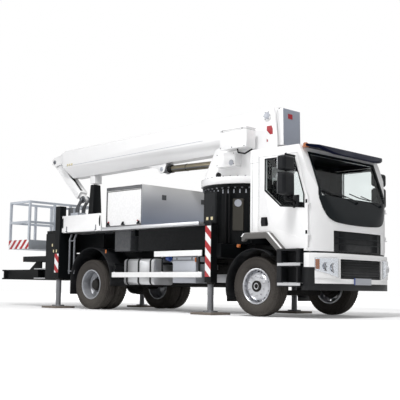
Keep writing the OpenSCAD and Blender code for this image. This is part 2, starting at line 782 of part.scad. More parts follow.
// Sliding beam with the jack post on its end; s shifts it beside the other beam
module outrigger_beam_shape(s) {
  color([0.07, 0.07, 0.08]) {
    jack_post(front_post_x, front_post_foot_z);
    block([front_post_x + s * beam_offset - beam_w / 2, -tunnel_end_y + 100, beam_z],
      [front_post_x + s * beam_offset + beam_w / 2, post_y - post_w / 2 + eps, beam_z + beam_h]);
    block([front_post_x - 180, post_y - post_w / 2 - 4, beam_z - 20],
      [front_post_x + 180, post_y - post_w / 2 + 20, beam_z + beam_h + 20]);
    block([front_post_x - 120, post_y - 60, 1600], [front_post_x + 190, post_y + post_w / 2 - 5, 2160]);
  }
}
module outrigger_beam_right() { placed() mirror([0, 1, 0]) beam_bored(-1); }
module outrigger_beam_left() { placed() beam_bored(1); }
module beam_bored(s) {
  difference() {
    outrigger_beam_shape(s);
    leg_bore(front_post_x, front_post_foot_z);
  }
}

// Jack leg with its foot and ground pad
module jack_shape(x, top_z) {
  color([0.55, 0.57, 0.6]) {
    translate([x, post_y, pad_t]) cylinder(h = top_z - pad_t, r = leg_r);
    translate([x, post_y, pad_t - eps]) cylinder(h = 26, r = 130);
  }
  color([0.25, 0.15, 0.1])
    block([x - pad_w / 2, post_y - pad_w / 2, 0], [x + pad_w / 2, post_y + pad_w / 2, pad_t]);
}
module jack_front_right() { placed() mirror([0, 1, 0]) jack_shape(front_post_x, jack_top_z); }
module jack_front_left() { placed() jack_shape(front_post_x, jack_top_z); }
module jack_rear_right() { placed() mirror([0, 1, 0]) jack_shape(rear_post_x, jack_top_z); }
module jack_rear_left() { placed() jack_shape(rear_post_x, jack_top_z); }

// ---- turret and boom ----

function turret_plate() = [[slew_x - 800, turret_foot_z + 120], [slew_x - 770, 2640],
  [slew_x - 500, 3110], [slew_x - 200, 3210], [pivot_x - 330, pivot_z + 95],
  [pivot_x - 190, pivot_z + 150], [pivot_x + 150, pivot_z + 125], [pivot_x + 230, 3070],
  [pivot_x + 60, turret_foot_z + 120]];

module turret() {
  color("white") placed() {
    difference() {
      translate([slew_x, 0, turret_foot_z]) cylinder(h = 130, r = 860, $fn = 96);
      translate([slew_x, 0, turret_foot_z - eps]) cylinder(h = 200, r = 500);
    }
    both_sides() {
      difference() {
        side_sheet(turret_plate(), plate_in_y, plate_in_y + plate_t);
        y_rod(slew_x - 420, 2608, 75, plate_in_y - 10, plate_in_y + plate_t + 10);
      }
      y_rod(pivot_x, pivot_z, 85, plate_in_y + plate_t - eps, plate_in_y + plate_t + 25);
    }
    y_rod(pivot_x, pivot_z, pivot_r, -plate_in_y - eps, plate_in_y + eps);
    y_rod(cyl_base_x, cyl_base_z, 45, -plate_in_y - eps, plate_in_y + eps);
    block([slew_x - 700, -plate_in_y - eps, 2485], [slew_x - 400, plate_in_y + eps, 2600]);
    // electrics box and valve box on the right-hand plate
    block([slew_x - 45, -700, 3020], [slew_x + 605, -450, 3380]);
    block([slew_x + 150, -451, 3100], [slew_x + 450, -plate_in_y - plate_t + eps, 3300]);
    block([slew_x - 340, -500, 2736], [slew_x + 160, -plate_in_y - plate_t + eps, 3000]);
  }
}

// Boom section outline in Y and height above the pivot line, pulled in by t
function boom_outline(t) = let (w = boom_half_w - t, top = boom_h - boom_under - t,
    low = -boom_under + t, c = 0.4 * t)
  [[-w + 45, top], [-w, top - 45 + c], [-w, low + 250 + c], [-w + 120 - c, low],
   [w - 120 + c, low], [w, low + 250 + c], [w, top - 45 + c], [w - 45, top]];

// Length of boom section running back from the pivot, from x0 to x1 behind it
module boom_tube(t, x0, x1) {
  translate([-x1, 0, 0]) rotate([90, 0, 90]) linear_extrude(x1 - x0) difference() {
    polygon(boom_outline(t));
    polygon(boom_outline(t + boom_wall));
  }
}

// Everything that lies along the boom, in the boom's own frame
module on_boom() {
  translate([pivot_x, 0, pivot_z]) rotate([0, -boom_slope, 0]) children();
}

// Slanting cut under the tail of every boom section, which makes room for the folded jib
module boom_end_cut() {
  side_sheet([[-boom_len - 300, 71], [-boom_len - 300, -700], [-boom_len + 430, -700]], -400, 400);
}

module boom_base() {
  color("white") placed() {
    difference() {
      union() {
        on_boom() difference() {
          boom_tube(0, -150, boom_len);
          boom_end_cut();
        }
        y_rod(pivot_x, pivot_z, pivot_r + 40, -boom_half_w - 30, boom_half_w + 30);
        // front counter box
        on_boom() block([165, -250, -560], [290, 250, 115]);
        on_boom() block([140, 5 - boom_half_w, -400], [166, boom_half_w - 5, 0]);
        // lug cheeks for the lift cylinder
        both_sides() side_sheet([[lug_x - 560, 3040], [lug_x - 130, 2950], [lug_x - 80, 2870],
          [lug_x - 40, 2845], [lug_x + 40, 2845], [lug_x + 80, 2880], [lug_x + 150, 3060]], 80, 105);
        // foot that lies over the boom rest
        on_boom() block([rear_x - 1535 - pivot_x, -100, -boom_under - 190],
          [rear_x - 1365 - pivot_x, 100, -boom_under + 5]);
      }
      y_rod(pivot_x, pivot_z, pivot_r + 1, -400, 400);
    }
  }
}

module boom_middle() {
  color("white") placed() on_boom() difference() {
    boom_tube(section_step, 1000, boom_len + 90);
    boom_end_cut();
  }
}

module boom_tip() {
  color("white") placed() {
    on_boom() difference() {
      union() {
        boom_tube(2 * section_step, 1250, boom_len + 170);
        translate([-boom_len - 170, 0, 0]) rotate([90, 0, 90]) linear_extrude(boom_wall)
          polygon(boom_outline(2 * section_step));
      }
      boom_end_cut();
    }
    for (s = [-1, 1])
      side_sheet([[jib_pin_x - 110, jib_pin_z + 60], [jib_pin_x - 30, jib_pin_z + 110],
        [rear_x - boom_reach - 165, jib_pin_z + 150], [rear_x - boom_reach - 165, jib_pin_z - 60],
        [jib_pin_x + 20, jib_pin_z - 110], [jib_pin_x - 90, jib_pin_z - 60]], s * 135 - 12, s * 135 + 12);
    block([rear_x - boom_reach - 185, -148, jib_pin_z - 60],
      [rear_x - boom_reach - 163, 148, jib_pin_z + 150]);
    y_rod(jib_pin_x, jib_pin_z, 35, -124, 124);
  }
}

module on_cylinder() {
  translate([cyl_base_x, 0, cyl_base_z]) rotate([0, cyl_tilt, 0]) children();
}

module lift_barrel() {
  color([0.45, 0.4, 0.3]) placed() on_cylinder() {
    difference() {
      union() {
        x_rod(0, 0, barrel_r, -cyl_len + 150, -60);
        y_rod(0, 0, 80, -60, 60);
      }
      y_rod(0, 0, 46, -100, 100);
      x_rod(0, 0, rod_r + 1, -cyl_len - 10, -130);
    }
  }
}

module lift_rod() {
  color("silver") placed() on_cylinder() {
    x_rod(0, 0, rod_r, -cyl_len + 50, -200);
    difference() {
      y_rod(-cyl_len, 0, 75, -50, 50);
      y_rod(-cyl_len, 0, 35, -100, 100);
    }
  }
}

module jib() {
  color("white") placed() translate([jib_pin_x, 0, jib_pin_z]) rotate([0, jib_fold, 0])
    difference() {
      union() {
        difference() {
          block([20, -jib_half_w, -jib_h / 2], [jib_len - 150, jib_half_w, jib_h / 2]);
          block([130, -jib_half_w + 10, -jib_h / 2 + 10],
            [jib_len - 165, jib_half_w - 10, jib_h / 2 - 10]);
        }
        y_rod(0, 0, 90, -jib_half_w, jib_half_w);
        block([jib_len - 151, -50, -60], [jib_len, 50, 60]);
        y_rod(jib_len, 0, 62, -50, 50);
      }
      y_rod(0, 0, 36, -200, 200);
      y_rod(jib_len, 0, 26, -200, 200);
    }
}

module level_link() {
  color([0.6, 0.62, 0.65]) placed() {
    // pin, cheeks each side of the jib's eye, and the pin's heads
    y_rod(mount_x, mount_z, 25, -106, 106);
    for (s = [-1, 1]) {
      y_rod(mount_x, mount_z, 85, s * 64 - 11, s * 64 + 11);
      y_rod(mount_x, mount_z, 45, s * 117 - 13, s * 117 + 13);
    }
  }
}

module basket_mount() {
  x1 = mount_x - 100;
  x0 = x1 - 270;
  color([0.75, 0.76, 0.78]) placed() {
    difference() {
      union() {
        for (s = [-1, 1]) {
          y_rod(mount_x, mount_z, 60, s * 90 - 12, s * 90 + 12);
          side_sheet([[mount_x - 60, mount_z], [mount_x - 225, mount_z - 200],
            [mount_x - 225, mount_z - 320], [mount_x - 110, mount_z - 320],
            [mount_x - 85, mount_z - 150], [mount_x + 20, mount_z - 57]], s * 90 - 12, s * 90 + 12);
        }
      }
      y_rod(mount_x, mount_z, 26, -200, 200);
    }
    block([x0, -125, mount_z - 700], [x1, 125, mount_z - 300]);
    difference() {
      union() {
        block([basket_axis_x, -60, mount_z - 640], [x0 + eps, 60, mount_z - 500]);
        translate([basket_axis_x, 0, mount_z - 680]) cylinder(h = 220, r = 75);
      }
      translate([basket_axis_x, 0, mount_z - 690]) cylinder(h = 240, r = 31);
    }
    // control box and levelling cylinder
    block([x0 - 130, -100, mount_z - 450], [x0 + 60, 100, mount_z - 170]);
  }
}

module basket() {
  x0 = basket_rear_x;
  x1 = basket_front_x;
  w = basket_half_w;
  color([0.75, 0.77, 0.8]) placed() {
    difference() {
      block([x0, -w, basket_floor_z], [x1, w, basket_floor_z + toe_h]);
      block([x0 + 10, -w + 10, basket_floor_z + 40], [x1 - 10, w - 10, basket_floor_z + toe_h + 10]);
    }
    for (x = [x0, x1 - tube], y = [-w, -w * 0.27, w * 0.27 - tube, w - tube])
      block([x, y, basket_floor_z + 40], [x + tube, y + tube, basket_top_z - 10]);
    for (z = [1910, basket_top_z - tube]) difference() {
      block([x0, -w, z], [x1, w, z + tube]);
      block([x0 + tube, -w + tube, z - 5], [x1 - tube, w - tube, z + tube + 5]);
    }
    // vertical pin held by two lugs on the front face
    for (z = [mount_z - 730, mount_z - 455])
      block([x1 - 1, -45, z], [basket_axis_x + 45, 45, z + 45]);
    translate([basket_axis_x, 0, mount_z - 729]) cylinder(h = 318, r = 30);
    block([x1 - tube, -60, basket_floor_z + 40], [x1, 60, 1990]);
  }
}

chassis_frame();
engine_block();
front_axle();
rear_axle();
cab_shell();
cab_glass();
dashboard();
seats();
front_bumper();
grille();
lights();
cab_steps();
mudguards();
sun_visor();
pedestal();
bed_deck();
tool_locker();
locker_shutters();
boom_rest();
underbed_boxes();
fuel_tank();
side_guards();
rear_body();
knuckle_right();
knuckle_left();
front_tyre_right();
front_tyre_left();
front_rim_right();
front_rim_left();
rear_tyres_right();
rear_tyres_left();
rear_rims_right();
rear_rims_left();
door_right();
door_left();
door_glass_right();
door_glass_left();
dropside_right();
dropside_left();
outrigger_beam_right();
outrigger_beam_left();
jack_front_right();
jack_front_left();
jack_rear_right();
jack_rear_left();
turret();
boom_base();
boom_middle();
boom_tip();
lift_barrel();
lift_rod();
jib();
level_link();
basket_mount();
basket();
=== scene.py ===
"""Looks of a two-axle cherry picker truck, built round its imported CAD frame.

Lengths are in metres. Shapes are laid out from the front axle, on the ground: +X forward,
+Y to the truck's left, +Z up. finish_piece() moves them to the row frame.
"""

import json
import math

import bmesh
import bpy
from mathutils import Matrix, Vector


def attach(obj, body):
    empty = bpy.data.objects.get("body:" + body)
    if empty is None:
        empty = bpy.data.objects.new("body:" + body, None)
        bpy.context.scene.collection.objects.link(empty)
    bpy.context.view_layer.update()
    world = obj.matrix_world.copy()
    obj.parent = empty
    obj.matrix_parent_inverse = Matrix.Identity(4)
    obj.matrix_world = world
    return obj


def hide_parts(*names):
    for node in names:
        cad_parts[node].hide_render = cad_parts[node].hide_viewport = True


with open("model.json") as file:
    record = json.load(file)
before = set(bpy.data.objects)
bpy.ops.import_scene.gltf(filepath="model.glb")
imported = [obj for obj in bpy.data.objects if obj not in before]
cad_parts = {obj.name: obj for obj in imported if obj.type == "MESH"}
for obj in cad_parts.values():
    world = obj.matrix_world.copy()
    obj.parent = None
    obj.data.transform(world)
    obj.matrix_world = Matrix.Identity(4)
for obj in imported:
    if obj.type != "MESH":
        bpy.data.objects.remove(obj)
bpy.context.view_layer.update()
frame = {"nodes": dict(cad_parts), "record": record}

AXLE_X = 3.395          # front axle in the row frame
AXLE_Z = 0.505
REAR_AXLE = -4.4
CAB_HALF_W = 1.15
SLEW_X = -1.25          # upright axis of the turret
BOOM_PIVOT_X, BOOM_PIVOT_Z = -0.45, 3.61
JIB_PIN = (-7.26, 0.0, 3.43)
JIB_TILT = 43           # degrees below level at rest
FRONT_JACK_X, REAR_JACK_X = -1.02, -5.505
JACK_Y = 1.195
SIDES = ((-1, "right"), (1, "left"))


# ---------- shader groups ----------

def group_tree(name, inputs, outputs):
    """Empty shader group with named sockets: (name, kind, value)."""
    tree = bpy.data.node_groups.new(name, "ShaderNodeTree")
    for socket, kind, value in inputs:
        made = tree.interface.new_socket(socket, in_out="INPUT", socket_type=kind)
        made.default_value = value
    for socket, kind in outputs:
        tree.interface.new_socket(socket, in_out="OUTPUT", socket_type=kind)
    return tree, tree.nodes.new("NodeGroupInput"), tree.nodes.new("NodeGroupOutput")


def node(tree, kind, **settings):
    made = tree.nodes.new(kind)
    for key, value in settings.items():
        setattr(made, key, value)
    return made


def math_node(tree, operation, a, b=None, clamp=False):
    made = node(tree, "ShaderNodeMath", operation=operation, use_clamp=clamp)
    for socket, value in zip(made.inputs, (a, b)):
        if value is None:
            continue
        if isinstance(value, (int, float)):
            socket.default_value = value
        else:
            tree.links.new(value, socket)
    return made.outputs[0]


def noise(tree, vector, scale, detail=3.0):
    made = node(tree, "ShaderNodeTexNoise")
    made.inputs["Detail"].default_value = detail
    tree.links.new(vector, made.inputs["Vector"])
    if isinstance(scale, (int, float)):
        made.inputs["Scale"].default_value = scale
    else:
        tree.links.new(scale, made.inputs["Scale"])
    return made.outputs["Fac"]


def mix_colour(tree, amount, a, b):
    made = node(tree, "ShaderNodeMix", data_type="RGBA")
    for socket, value in ((made.inputs[0], amount), (made.inputs[6], a), (made.inputs[7], b)):
        if isinstance(value, (int, float)):
            socket.default_value = value
        elif isinstance(value, tuple):
            socket.default_value = value
        else:
            tree.links.new(value, socket)
    return made.outputs[2]


def build_road_dust():
    """Film of road dust: thicker low down and on faces that look up."""
    tree, source, sink = group_tree("road_dust", [
        ("Colour", "NodeSocketColor", (0.8, 0.8, 0.8, 1)),
        ("Dust", "NodeSocketColor", (0.36, 0.33, 0.29, 1)),
        ("Amount", "NodeSocketFloat", 0.2), ("Reach", "NodeSocketFloat", 1.2),
        ("Roughness", "NodeSocketFloat", 0.4)],
        [("Colour", "NodeSocketColor"), ("Roughness", "NodeSocketFloat")])
    place = node(tree, "ShaderNodeTexCoord").outputs["Object"]
    split = node(tree, "ShaderNodeSeparateXYZ")
    tree.links.new(place, split.inputs[0])
    height = math_node(tree, "DIVIDE", split.outputs[2], source.outputs["Reach"])
    low = math_node(tree, "SUBTRACT", 1.0, height, clamp=True)
    facing = node(tree, "ShaderNodeSeparateXYZ")
    tree.links.new(node(tree, "ShaderNodeNewGeometry").outputs["Normal"], facing.inputs[0])
    upward = math_node(tree, "MULTIPLY", facing.outputs[2], 0.25, clamp=True)
    cloud = noise(tree, place, 3.1, 5.0)
    speck = noise(tree, place, 47.0, 2.0)
    patch = math_node(tree, "MULTIPLY", cloud, speck)
    patch = math_node(tree, "MULTIPLY", patch, 4.0, clamp=True)
    total = math_node(tree, "ADD", low, upward, clamp=True)
    total = math_node(tree, "MULTIPLY", total, patch)
    total = math_node(tree, "MULTIPLY", total, source.outputs["Amount"], clamp=True)
    tree.links.new(mix_colour(tree, total, source.outputs["Colour"], source.outputs["Dust"]),
                   sink.inputs["Colour"])
    rough = math_node(tree, "MULTIPLY", total, 0.5)
    tree.links.new(math_node(tree, "ADD", source.outputs["Roughness"], rough, clamp=True),
                   sink.inputs["Roughness"])
    return tree


def build_edge_wear():
    """Paint rubbed thin along proud edges, broken up by noise."""
    tree, source, sink = group_tree("edge_wear", [
        ("Colour", "NodeSocketColor", (0.8, 0.8, 0.8, 1)),
        ("Worn", "NodeSocketColor", (0.5, 0.5, 0.5, 1)),
        ("Amount", "NodeSocketFloat", 0.3)],
        [("Colour", "NodeSocketColor"), ("Mask", "NodeSocketFloat")])
    place = node(tree, "ShaderNodeTexCoord").outputs["Object"]
    proud = node(tree, "ShaderNodeNewGeometry").outputs["Pointiness"]
    edge = math_node(tree, "SUBTRACT", proud, 0.53)
    edge = math_node(tree, "MULTIPLY", edge, 9.0, clamp=True)
    broken = math_node(tree, "SUBTRACT", noise(tree, place, 21.0, 4.0), 0.42, clamp=True)
    broken = math_node(tree, "MULTIPLY", broken, 6.0, clamp=True)
    mask = math_node(tree, "MULTIPLY", edge, broken)
    mask = math_node(tree, "MULTIPLY", mask, source.outputs["Amount"], clamp=True)
    tree.links.new(mix_colour(tree, mask, source.outputs["Colour"], source.outputs["Worn"]),
                   sink.inputs["Colour"])
    tree.links.new(mask, sink.inputs["Mask"])
    return tree


def build_fine_grain():
    """Fine relief of a finish: orange peel, moulded grain or cast skin."""
    tree, source, sink = group_tree("fine_grain", [
        ("Scale", "NodeSocketFloat", 200.0), ("Height", "NodeSocketFloat", 0.5)],
        [("Height", "NodeSocketFloat"), ("Tone", "NodeSocketFloat")])
    place = node(tree, "ShaderNodeTexCoord").outputs["Object"]
    relief = noise(tree, place, source.outputs["Scale"], 4.0)
    tree.links.new(math_node(tree, "MULTIPLY", relief, source.outputs["Height"]),
                   sink.inputs["Height"])
    tree.links.new(noise(tree, place, 2.3, 3.0), sink.inputs["Tone"])
    return tree


ROAD_DUST = build_road_dust()
EDGE_WEAR = build_edge_wear()
FINE_GRAIN = build_fine_grain()


def grouped(tree, group, **values):
    made = node(tree, "ShaderNodeGroup", node_tree=group)
    for key, value in values.items():
        socket = made.inputs[key]
        if isinstance(value, (int, float, tuple)):
            socket.default_value = value
        else:
            tree.links.new(value, socket)
    return made


def rgba(colour):
    return tuple(colour) + (1.0,)


def finish(name, colour, rough=0.4, metal=0.0, coat=0.0, grain=180.0, bump=0.02, wear=0.0,
           worn=(0.5, 0.5, 0.5), dust=0.15, reach=1.3, tone=0.06, pattern=None, gloss=0.5):
    """Opaque finish: base colour with tone, wear and dust, fine relief in the bump."""
    made = bpy.data.materials.new(name)
    made.use_nodes = True
    made.diffuse_color = rgba(colour)
    tree = made.node_tree
    shader = tree.nodes["Principled BSDF"]
    fine = grouped(tree, FINE_GRAIN, Scale=grain, Height=1.0)
    dark = tuple(c * (1 - tone * 2) for c in colour)
    base = pattern(tree) if pattern else mix_colour(tree, fine.outputs["Tone"], rgba(colour), rgba(dark))
    edges = grouped(tree, EDGE_WEAR, Colour=base, Worn=rgba(worn), Amount=wear)
    film = grouped(tree, ROAD_DUST, Colour=edges.outputs["Colour"], Amount=dust, Reach=reach,
                   Roughness=rough)
    tree.links.new(film.outputs["Colour"], shader.inputs["Base Color"])
    tree.links.new(film.outputs["Roughness"], shader.inputs["Roughness"])
    shader.inputs["Metallic"].default_value = metal
    shader.inputs["Coat Weight"].default_value = coat
    shader.inputs["Coat Roughness"].default_value = 0.06
    shader.inputs["Specular IOR Level"].default_value = gloss
    relief = node(tree, "ShaderNodeBump")
    relief.inputs["Strength"].default_value = bump * 4
    relief.inputs["Distance"].default_value = 0.001
    tree.links.new(fine.outputs["Height"], relief.inputs["Height"])
    tree.links.new(relief.outputs["Normal"], shader.inputs["Normal"])
    return made


def clear_finish(name, colour, alpha=1.0, rough=0.03, transmission=1.0, ior=1.45):
    """Glass and clear lamp covers."""
    made = bpy.data.materials.new(name)
    made.use_nodes = True
    made.diffuse_color = tuple(colour) + (0.5,)
    tree = made.node_tree
    shader = tree.nodes["Principled BSDF"]
    fine = grouped(tree, FINE_GRAIN, Scale=12.0, Height=0.03)
    tree.links.new(mix_colour(tree, fine.outputs["Tone"], rgba(colour),
                              rgba([c * 0.93 for c in colour])), shader.inputs["Base Color"])
    shader.inputs["Roughness"].default_value = rough
    shader.inputs["Transmission Weight"].default_value = transmission
    shader.inputs["IOR"].default_value = ior
    shader.inputs["Alpha"].default_value = alpha
    return made


def painted_shade_by_height(low, high, bottom=(0.30, 0.34, 0.44), top=(0.66, 0.66, 0.66)):
    """Painted shade: one tone that lightens with height, darker and bluer low down."""
    def pattern(tree):
        place = node(tree, "ShaderNodeTexCoord").outputs["Object"]
        split = node(tree, "ShaderNodeSeparateXYZ")
        tree.links.new(place, split.inputs[0])
        rise = math_node(tree, "SUBTRACT", split.outputs[2], low)
        amount = math_node(tree, "DIVIDE", rise, high - low, clamp=True)
        return mix_colour(tree, amount, rgba(bottom), rgba(top))
    return pattern


def slanted_stripes(pitch, red=(0.40, 0.010, 0.016), white=(0.85, 0.85, 0.86), lean=1.0, offset=0.0):
    """Red and white bands at 45 degrees on every upright face."""
    def pattern(tree):
        place = node(tree, "ShaderNodeTexCoord").outputs["Object"]
        split = node(tree, "ShaderNodeSeparateXYZ")
        tree.links.new(place, split.inputs[0])
        across = math_node(tree, "ADD", split.outputs[0], split.outputs[1])
        across = math_node(tree, "MULTIPLY", across, lean)
        run = math_node(tree, "ADD", across, split.outputs[2])
        run = math_node(tree, "ADD", run, offset)
        band = math_node(tree, "FRACT", math_node(tree, "DIVIDE", run, pitch))
        return mix_colour(tree, math_node(tree, "GREATER_THAN", band, 0.5), rgba(white), rgba(red))
    return pattern


LOOKS = {
    "white_paint": finish("white_gloss_paint", (0.90, 0.90, 0.905), 0.28, coat=0.6, grain=320,
                          bump=0.012, wear=0.15, worn=(0.6, 0.6, 0.6), dust=0.10, tone=0.015),
    "black_paint": finish("black_satin_paint", (0.005, 0.006, 0.007), 0.40, grain=260, bump=0.03,
                          wear=0.12, worn=(0.04, 0.04, 0.045), dust=0.015, tone=0.12, gloss=0.15),
    "dark_metal": finish("underbody_black", (0.009, 0.009, 0.009), 0.62, grain=90, bump=0.10,
                         wear=0.3, worn=(0.06, 0.055, 0.05), dust=0.05, tone=0.2, gloss=0.2),
    "black_plastic": finish("grained_black_plastic", (0.007, 0.008, 0.010), 0.42, grain=520,
                            bump=0.09, dust=0.03, tone=0.1, gloss=0.25),
    "tyre": finish("tyre_rubber", (0.026, 0.022, 0.020), 0.78, grain=240, bump=0.10, dust=0.14,
                   reach=1.6, tone=0.2, gloss=0.25),
    "rim_alloy": finish("polished_alloy", (0.66, 0.67, 0.70), 0.30, metal=0.9, grain=140,
                        bump=0.008, dust=0.04, tone=0.05),
    "rim_silver": finish("wheel_silver", (0.44, 0.46, 0.50), 0.34, metal=0.55, grain=150,
                         bump=0.04, dust=0.22, tone=0.1),
    "visor_blue": finish("navy_gloss", (0.003, 0.005, 0.020), 0.28, grain=40,
                         bump=0.01, dust=0.0, tone=0.1, gloss=0.06),
    "body_aluminium": finish("deck_aluminium", (0.68, 0.69, 0.71), 0.32, metal=0.75, grain=110,
                             bump=0.04, wear=0.2, worn=(0.8, 0.8, 0.8), dust=0.12, tone=0.06),
    "grey_paint": finish("grey_satin_paint", (0.070, 0.073, 0.080), 0.34, grain=260, bump=0.03,
                         wear=0.2, worn=(0.3, 0.3, 0.3), dust=0.15, tone=0.08),
    "jack_steel": finish("jack_steel", (0.20, 0.21, 0.235), 0.36, metal=0.6, grain=120, bump=0.03,
                         wear=0.3, worn=(0.5, 0.5, 0.5), dust=0.2, tone=0.12),
    "cylinder_bronze": finish("bronze_cylinder_paint", (0.27, 0.235, 0.165), 0.30, metal=0.55,
                              grain=160, bump=0.02, dust=0.1, tone=0.08),
    "rod_chrome": finish("hard_chrome", (0.8, 0.8, 0.82), 0.08, metal=1.0, grain=300, bump=0.005,
                         dust=0.02, tone=0.03),
    "basket_aluminium": finish("basket_tube", (0.60, 0.64, 0.70), 0.34, metal=0.45, grain=150,
                               bump=0.03, wear=0.25, worn=(0.8, 0.8, 0.8), dust=0.05, tone=0.05),
    "interior_plastic": finish("dashboard_plastic", (0.010, 0.011, 0.013), 0.6, grain=420,
                               bump=0.08, dust=0.0, tone=0.1, gloss=0.1),
    "seat_fabric": finish("seat_cloth", (0.012, 0.013, 0.018), 0.92, grain=640, bump=0.2,
                          dust=0.0, tone=0.2, gloss=0.1),
    "glass": clear_finish("cab_glass_tint", (0.92, 0.955, 0.95), ior=1.16),
    "lamp_glass": clear_finish("lamp_cover", (0.92, 0.94, 0.96)),
    "amber": finish("amber_lens", (0.42, 0.12, 0.025), 0.18, coat=0.6, grain=60, bump=0.05, dust=0.05),
    "red_mark": finish("red_sheet", (0.38, 0.012, 0.022), 0.35, grain=200, bump=0.02, dust=0.03),
    "seam": finish("panel_seam", (0.05, 0.05, 0.055), 0.8, grain=200, bump=0.05, dust=0.1),
    "cream": finish("cream_decal", (0.66, 0.58, 0.36), 0.5, grain=200, bump=0.02, dust=0.05),
    "arch_grey": finish("arch_trim_grey", (0.115, 0.11, 0.105), 0.40, metal=0.1, grain=300,
                        bump=0.04, dust=0.04),
    "pad_brown": finish("pad_brown", (0.085, 0.055, 0.042), 0.7, grain=60, bump=0.12, dust=0.4,
                        reach=0.4, tone=0.2),
    "post_stripes": finish("post_stripes", (0.8, 0.8, 0.8), 0.34, coat=0.2, dust=0.12,
                           pattern=slanted_stripes(0.27, offset=0.08)),
    "basket_stripes": finish("basket_stripes", (0.8, 0.8, 0.8), 0.34, coat=0.2, dust=0.06,
                             pattern=slanted_stripes(0.21, lean=-1.0)),
    # Painted shade on the locker's front faces: grey, darker and bluer low down, lighter higher up.
    "locker_front_painted_shade": finish("painted_shade_locker_front", (0.52, 0.54, 0.58), 0.30, metal=0.35, grain=160,
                          bump=0.02, dust=0.03, tone=0.05, pattern=painted_shade_by_height(1.70, 2.45)),
    "column_olive": finish("column_olive_grey", (0.050, 0.047, 0.038), 0.45, grain=200, bump=0.03,
                           dust=0.03, gloss=0.3),
    "blue_cap": finish("blue_cap", (0.02, 0.07, 0.32), 0.35, grain=200, bump=0.03, dust=0.1),
    "hose": finish("black_hose", (0.007, 0.007, 0.008), 0.55, grain=300, bump=0.08, dust=0.03,
                   gloss=0.25),
    "dark_glass": finish("gloss_black_panel", (0.007, 0.010, 0.012), 0.18, coat=0.0, grain=60,
                         bump=0.01, dust=0.0, tone=0.1, gloss=0.22),
    "box_grey": finish("box_light_grey", (0.46, 0.48, 0.53), 0.36, metal=0.2, grain=200, bump=0.03,
                       dust=0.15, tone=0.05),
    # Painted shade: grey for the counter box's forward-facing faces, as they look in shade.
    "counter_box_painted_shade": finish("counter_box_front_painted_shade", (0.30, 0.325, 0.385), 0.4, grain=260, bump=0.02,
                           dust=0.03, tone=0.04),
    "mirror_face": finish("mirror_face", (0.75, 0.78, 0.8), 0.04, metal=1.0, grain=20, bump=0.0,
                          dust=0.02),
}


# ---------- shapes, in metres from the front axle ----------

def add_block(bm, corners):
    """Six faces round eight corners, the last direction changing quickest."""
    verts = [bm.verts.new(p) for p in corners]
    for face in ((0, 1, 3, 2), (4, 6, 7, 5), (0, 4, 5, 1), (2, 3, 7, 6), (0, 2, 6, 4), (1, 5, 7, 3)):
        bm.faces.new([verts[i] for i in face])


def add_box(bm, lo, hi):
    xs, ys, zs = zip(lo, hi)
    add_block(bm, [(x, y, z) for x in xs for y in ys for z in zs])


def add_side_box(bm, s, lo, hi):
    """Box whose Y values are distances out on side s."""
    near, far = sorted((s * lo[1], s * hi[1]))
    add_box(bm, (lo[0], near, lo[2]), (hi[0], far, hi[2]))


def add_sheet(bm, outline, a, b, axis="Y"):
    """Closed outline pushed along an axis from a to b. Points are the two other coordinates."""
    def spot(p, t):
        return {"X": (t, p[0], p[1]), "Y": (p[0], t, p[1]), "Z": (p[0], p[1], t)}[axis]
    low = [bm.verts.new(spot(p, a)) for p in outline]
    high = [bm.verts.new(spot(p, b)) for p in outline]
    made = [bm.faces.new(low), bm.faces.new(high)]
    for i in range(len(outline)):
        j = (i + 1) % len(outline)
        made.append(bm.faces.new((low[i], low[j], high[j], high[i])))
    bmesh.ops.recalc_face_normals(bm, faces=made)


def across(direction):
    """A direction and two more square to it."""
    d = Vector(direction).normalized()
    side = d.cross(Vector((0, 0, 1))) if abs(d.z) < 0.9 else d.cross(Vector((1, 0, 0)))
    side.normalize()
    return d, side, d.cross(side)


def add_tube(bm, points, r, sides=12):
    """Round bar or hose through a list of points, closed at both ends."""
    points = [Vector(p) for p in points]
    rings, last = [], None
    for i, p in enumerate(points):
        before = points[max(i - 1, 0)]
        after = points[min(i + 1, len(points) - 1)]
        d, side, up = across(after - before)
        if last is not None:
            side = (last - d * last.dot(d)).normalized()
            up = d.cross(side)
        last = side
        rings.append([bm.verts.new(p + (side * math.cos(t) + up * math.sin(t)) * r)
                      for t in [2 * math.pi * k / sides for k in range(sides)]])
    made = [bm.faces.new(rings[0]), bm.faces.new(rings[-1])]
    for low, high in zip(rings, rings[1:]):
        for k in range(sides):
            j = (k + 1) % sides
            made.append(bm.faces.new((low[k], low[j], high[j], high[k])))
    bmesh.ops.recalc_face_normals(bm, faces=made)


def add_rod(bm, a, b, r, sides=24):
    add_tube(bm, [a, b], r, sides)


def add_turned(bm, centre, axis, profile, sides=48):
    """Solid of revolution. profile is a closed loop of (distance along axis, radius)."""
    centre = Vector(centre)
    d, side, up = across(axis)
    rings = []
    for k in range(sides):
        t = 2 * math.pi * k / sides
        out = side * math.cos(t) + up * math.sin(t)
        rings.append([bm.verts.new(centre + d * s + out * r) for s, r in profile])
    made = []
    for k in range(sides):
        a, b = rings[k], rings[(k + 1) % sides]
        for i in range(len(profile)):
            j = (i + 1) % len(profile)
            if profile[i][1] < 1e-6 and profile[j][1] < 1e-6:
                continue
            made.append(bm.faces.new((a[i], a[j], b[j], b[i])))
    bmesh.ops.remove_doubles(bm, verts=[v for ring in rings for v in ring], dist=1e-6)
    bmesh.ops.recalc_face_normals(bm, faces=[f for f in made if f.is_valid])


def shown(mesh, name):
    made = bpy.data.objects.new(name, mesh)
    bpy.context.scene.collection.objects.link(made)
    return made


def baked(source, name):
    """The object's evaluated mesh as a plain one; the object is removed."""
    bpy.context.view_layer.update()
    view = source.evaluated_get(bpy.context.evaluated_depsgraph_get())
    mesh = bpy.data.meshes.new_from_object(view, preserve_all_data_layers=True,
                                           depsgraph=bpy.context.evaluated_depsgraph_get())
    mesh.name = name
    mesh.transform(source.matrix_world)
    bpy.data.objects.remove(source)
    return mesh


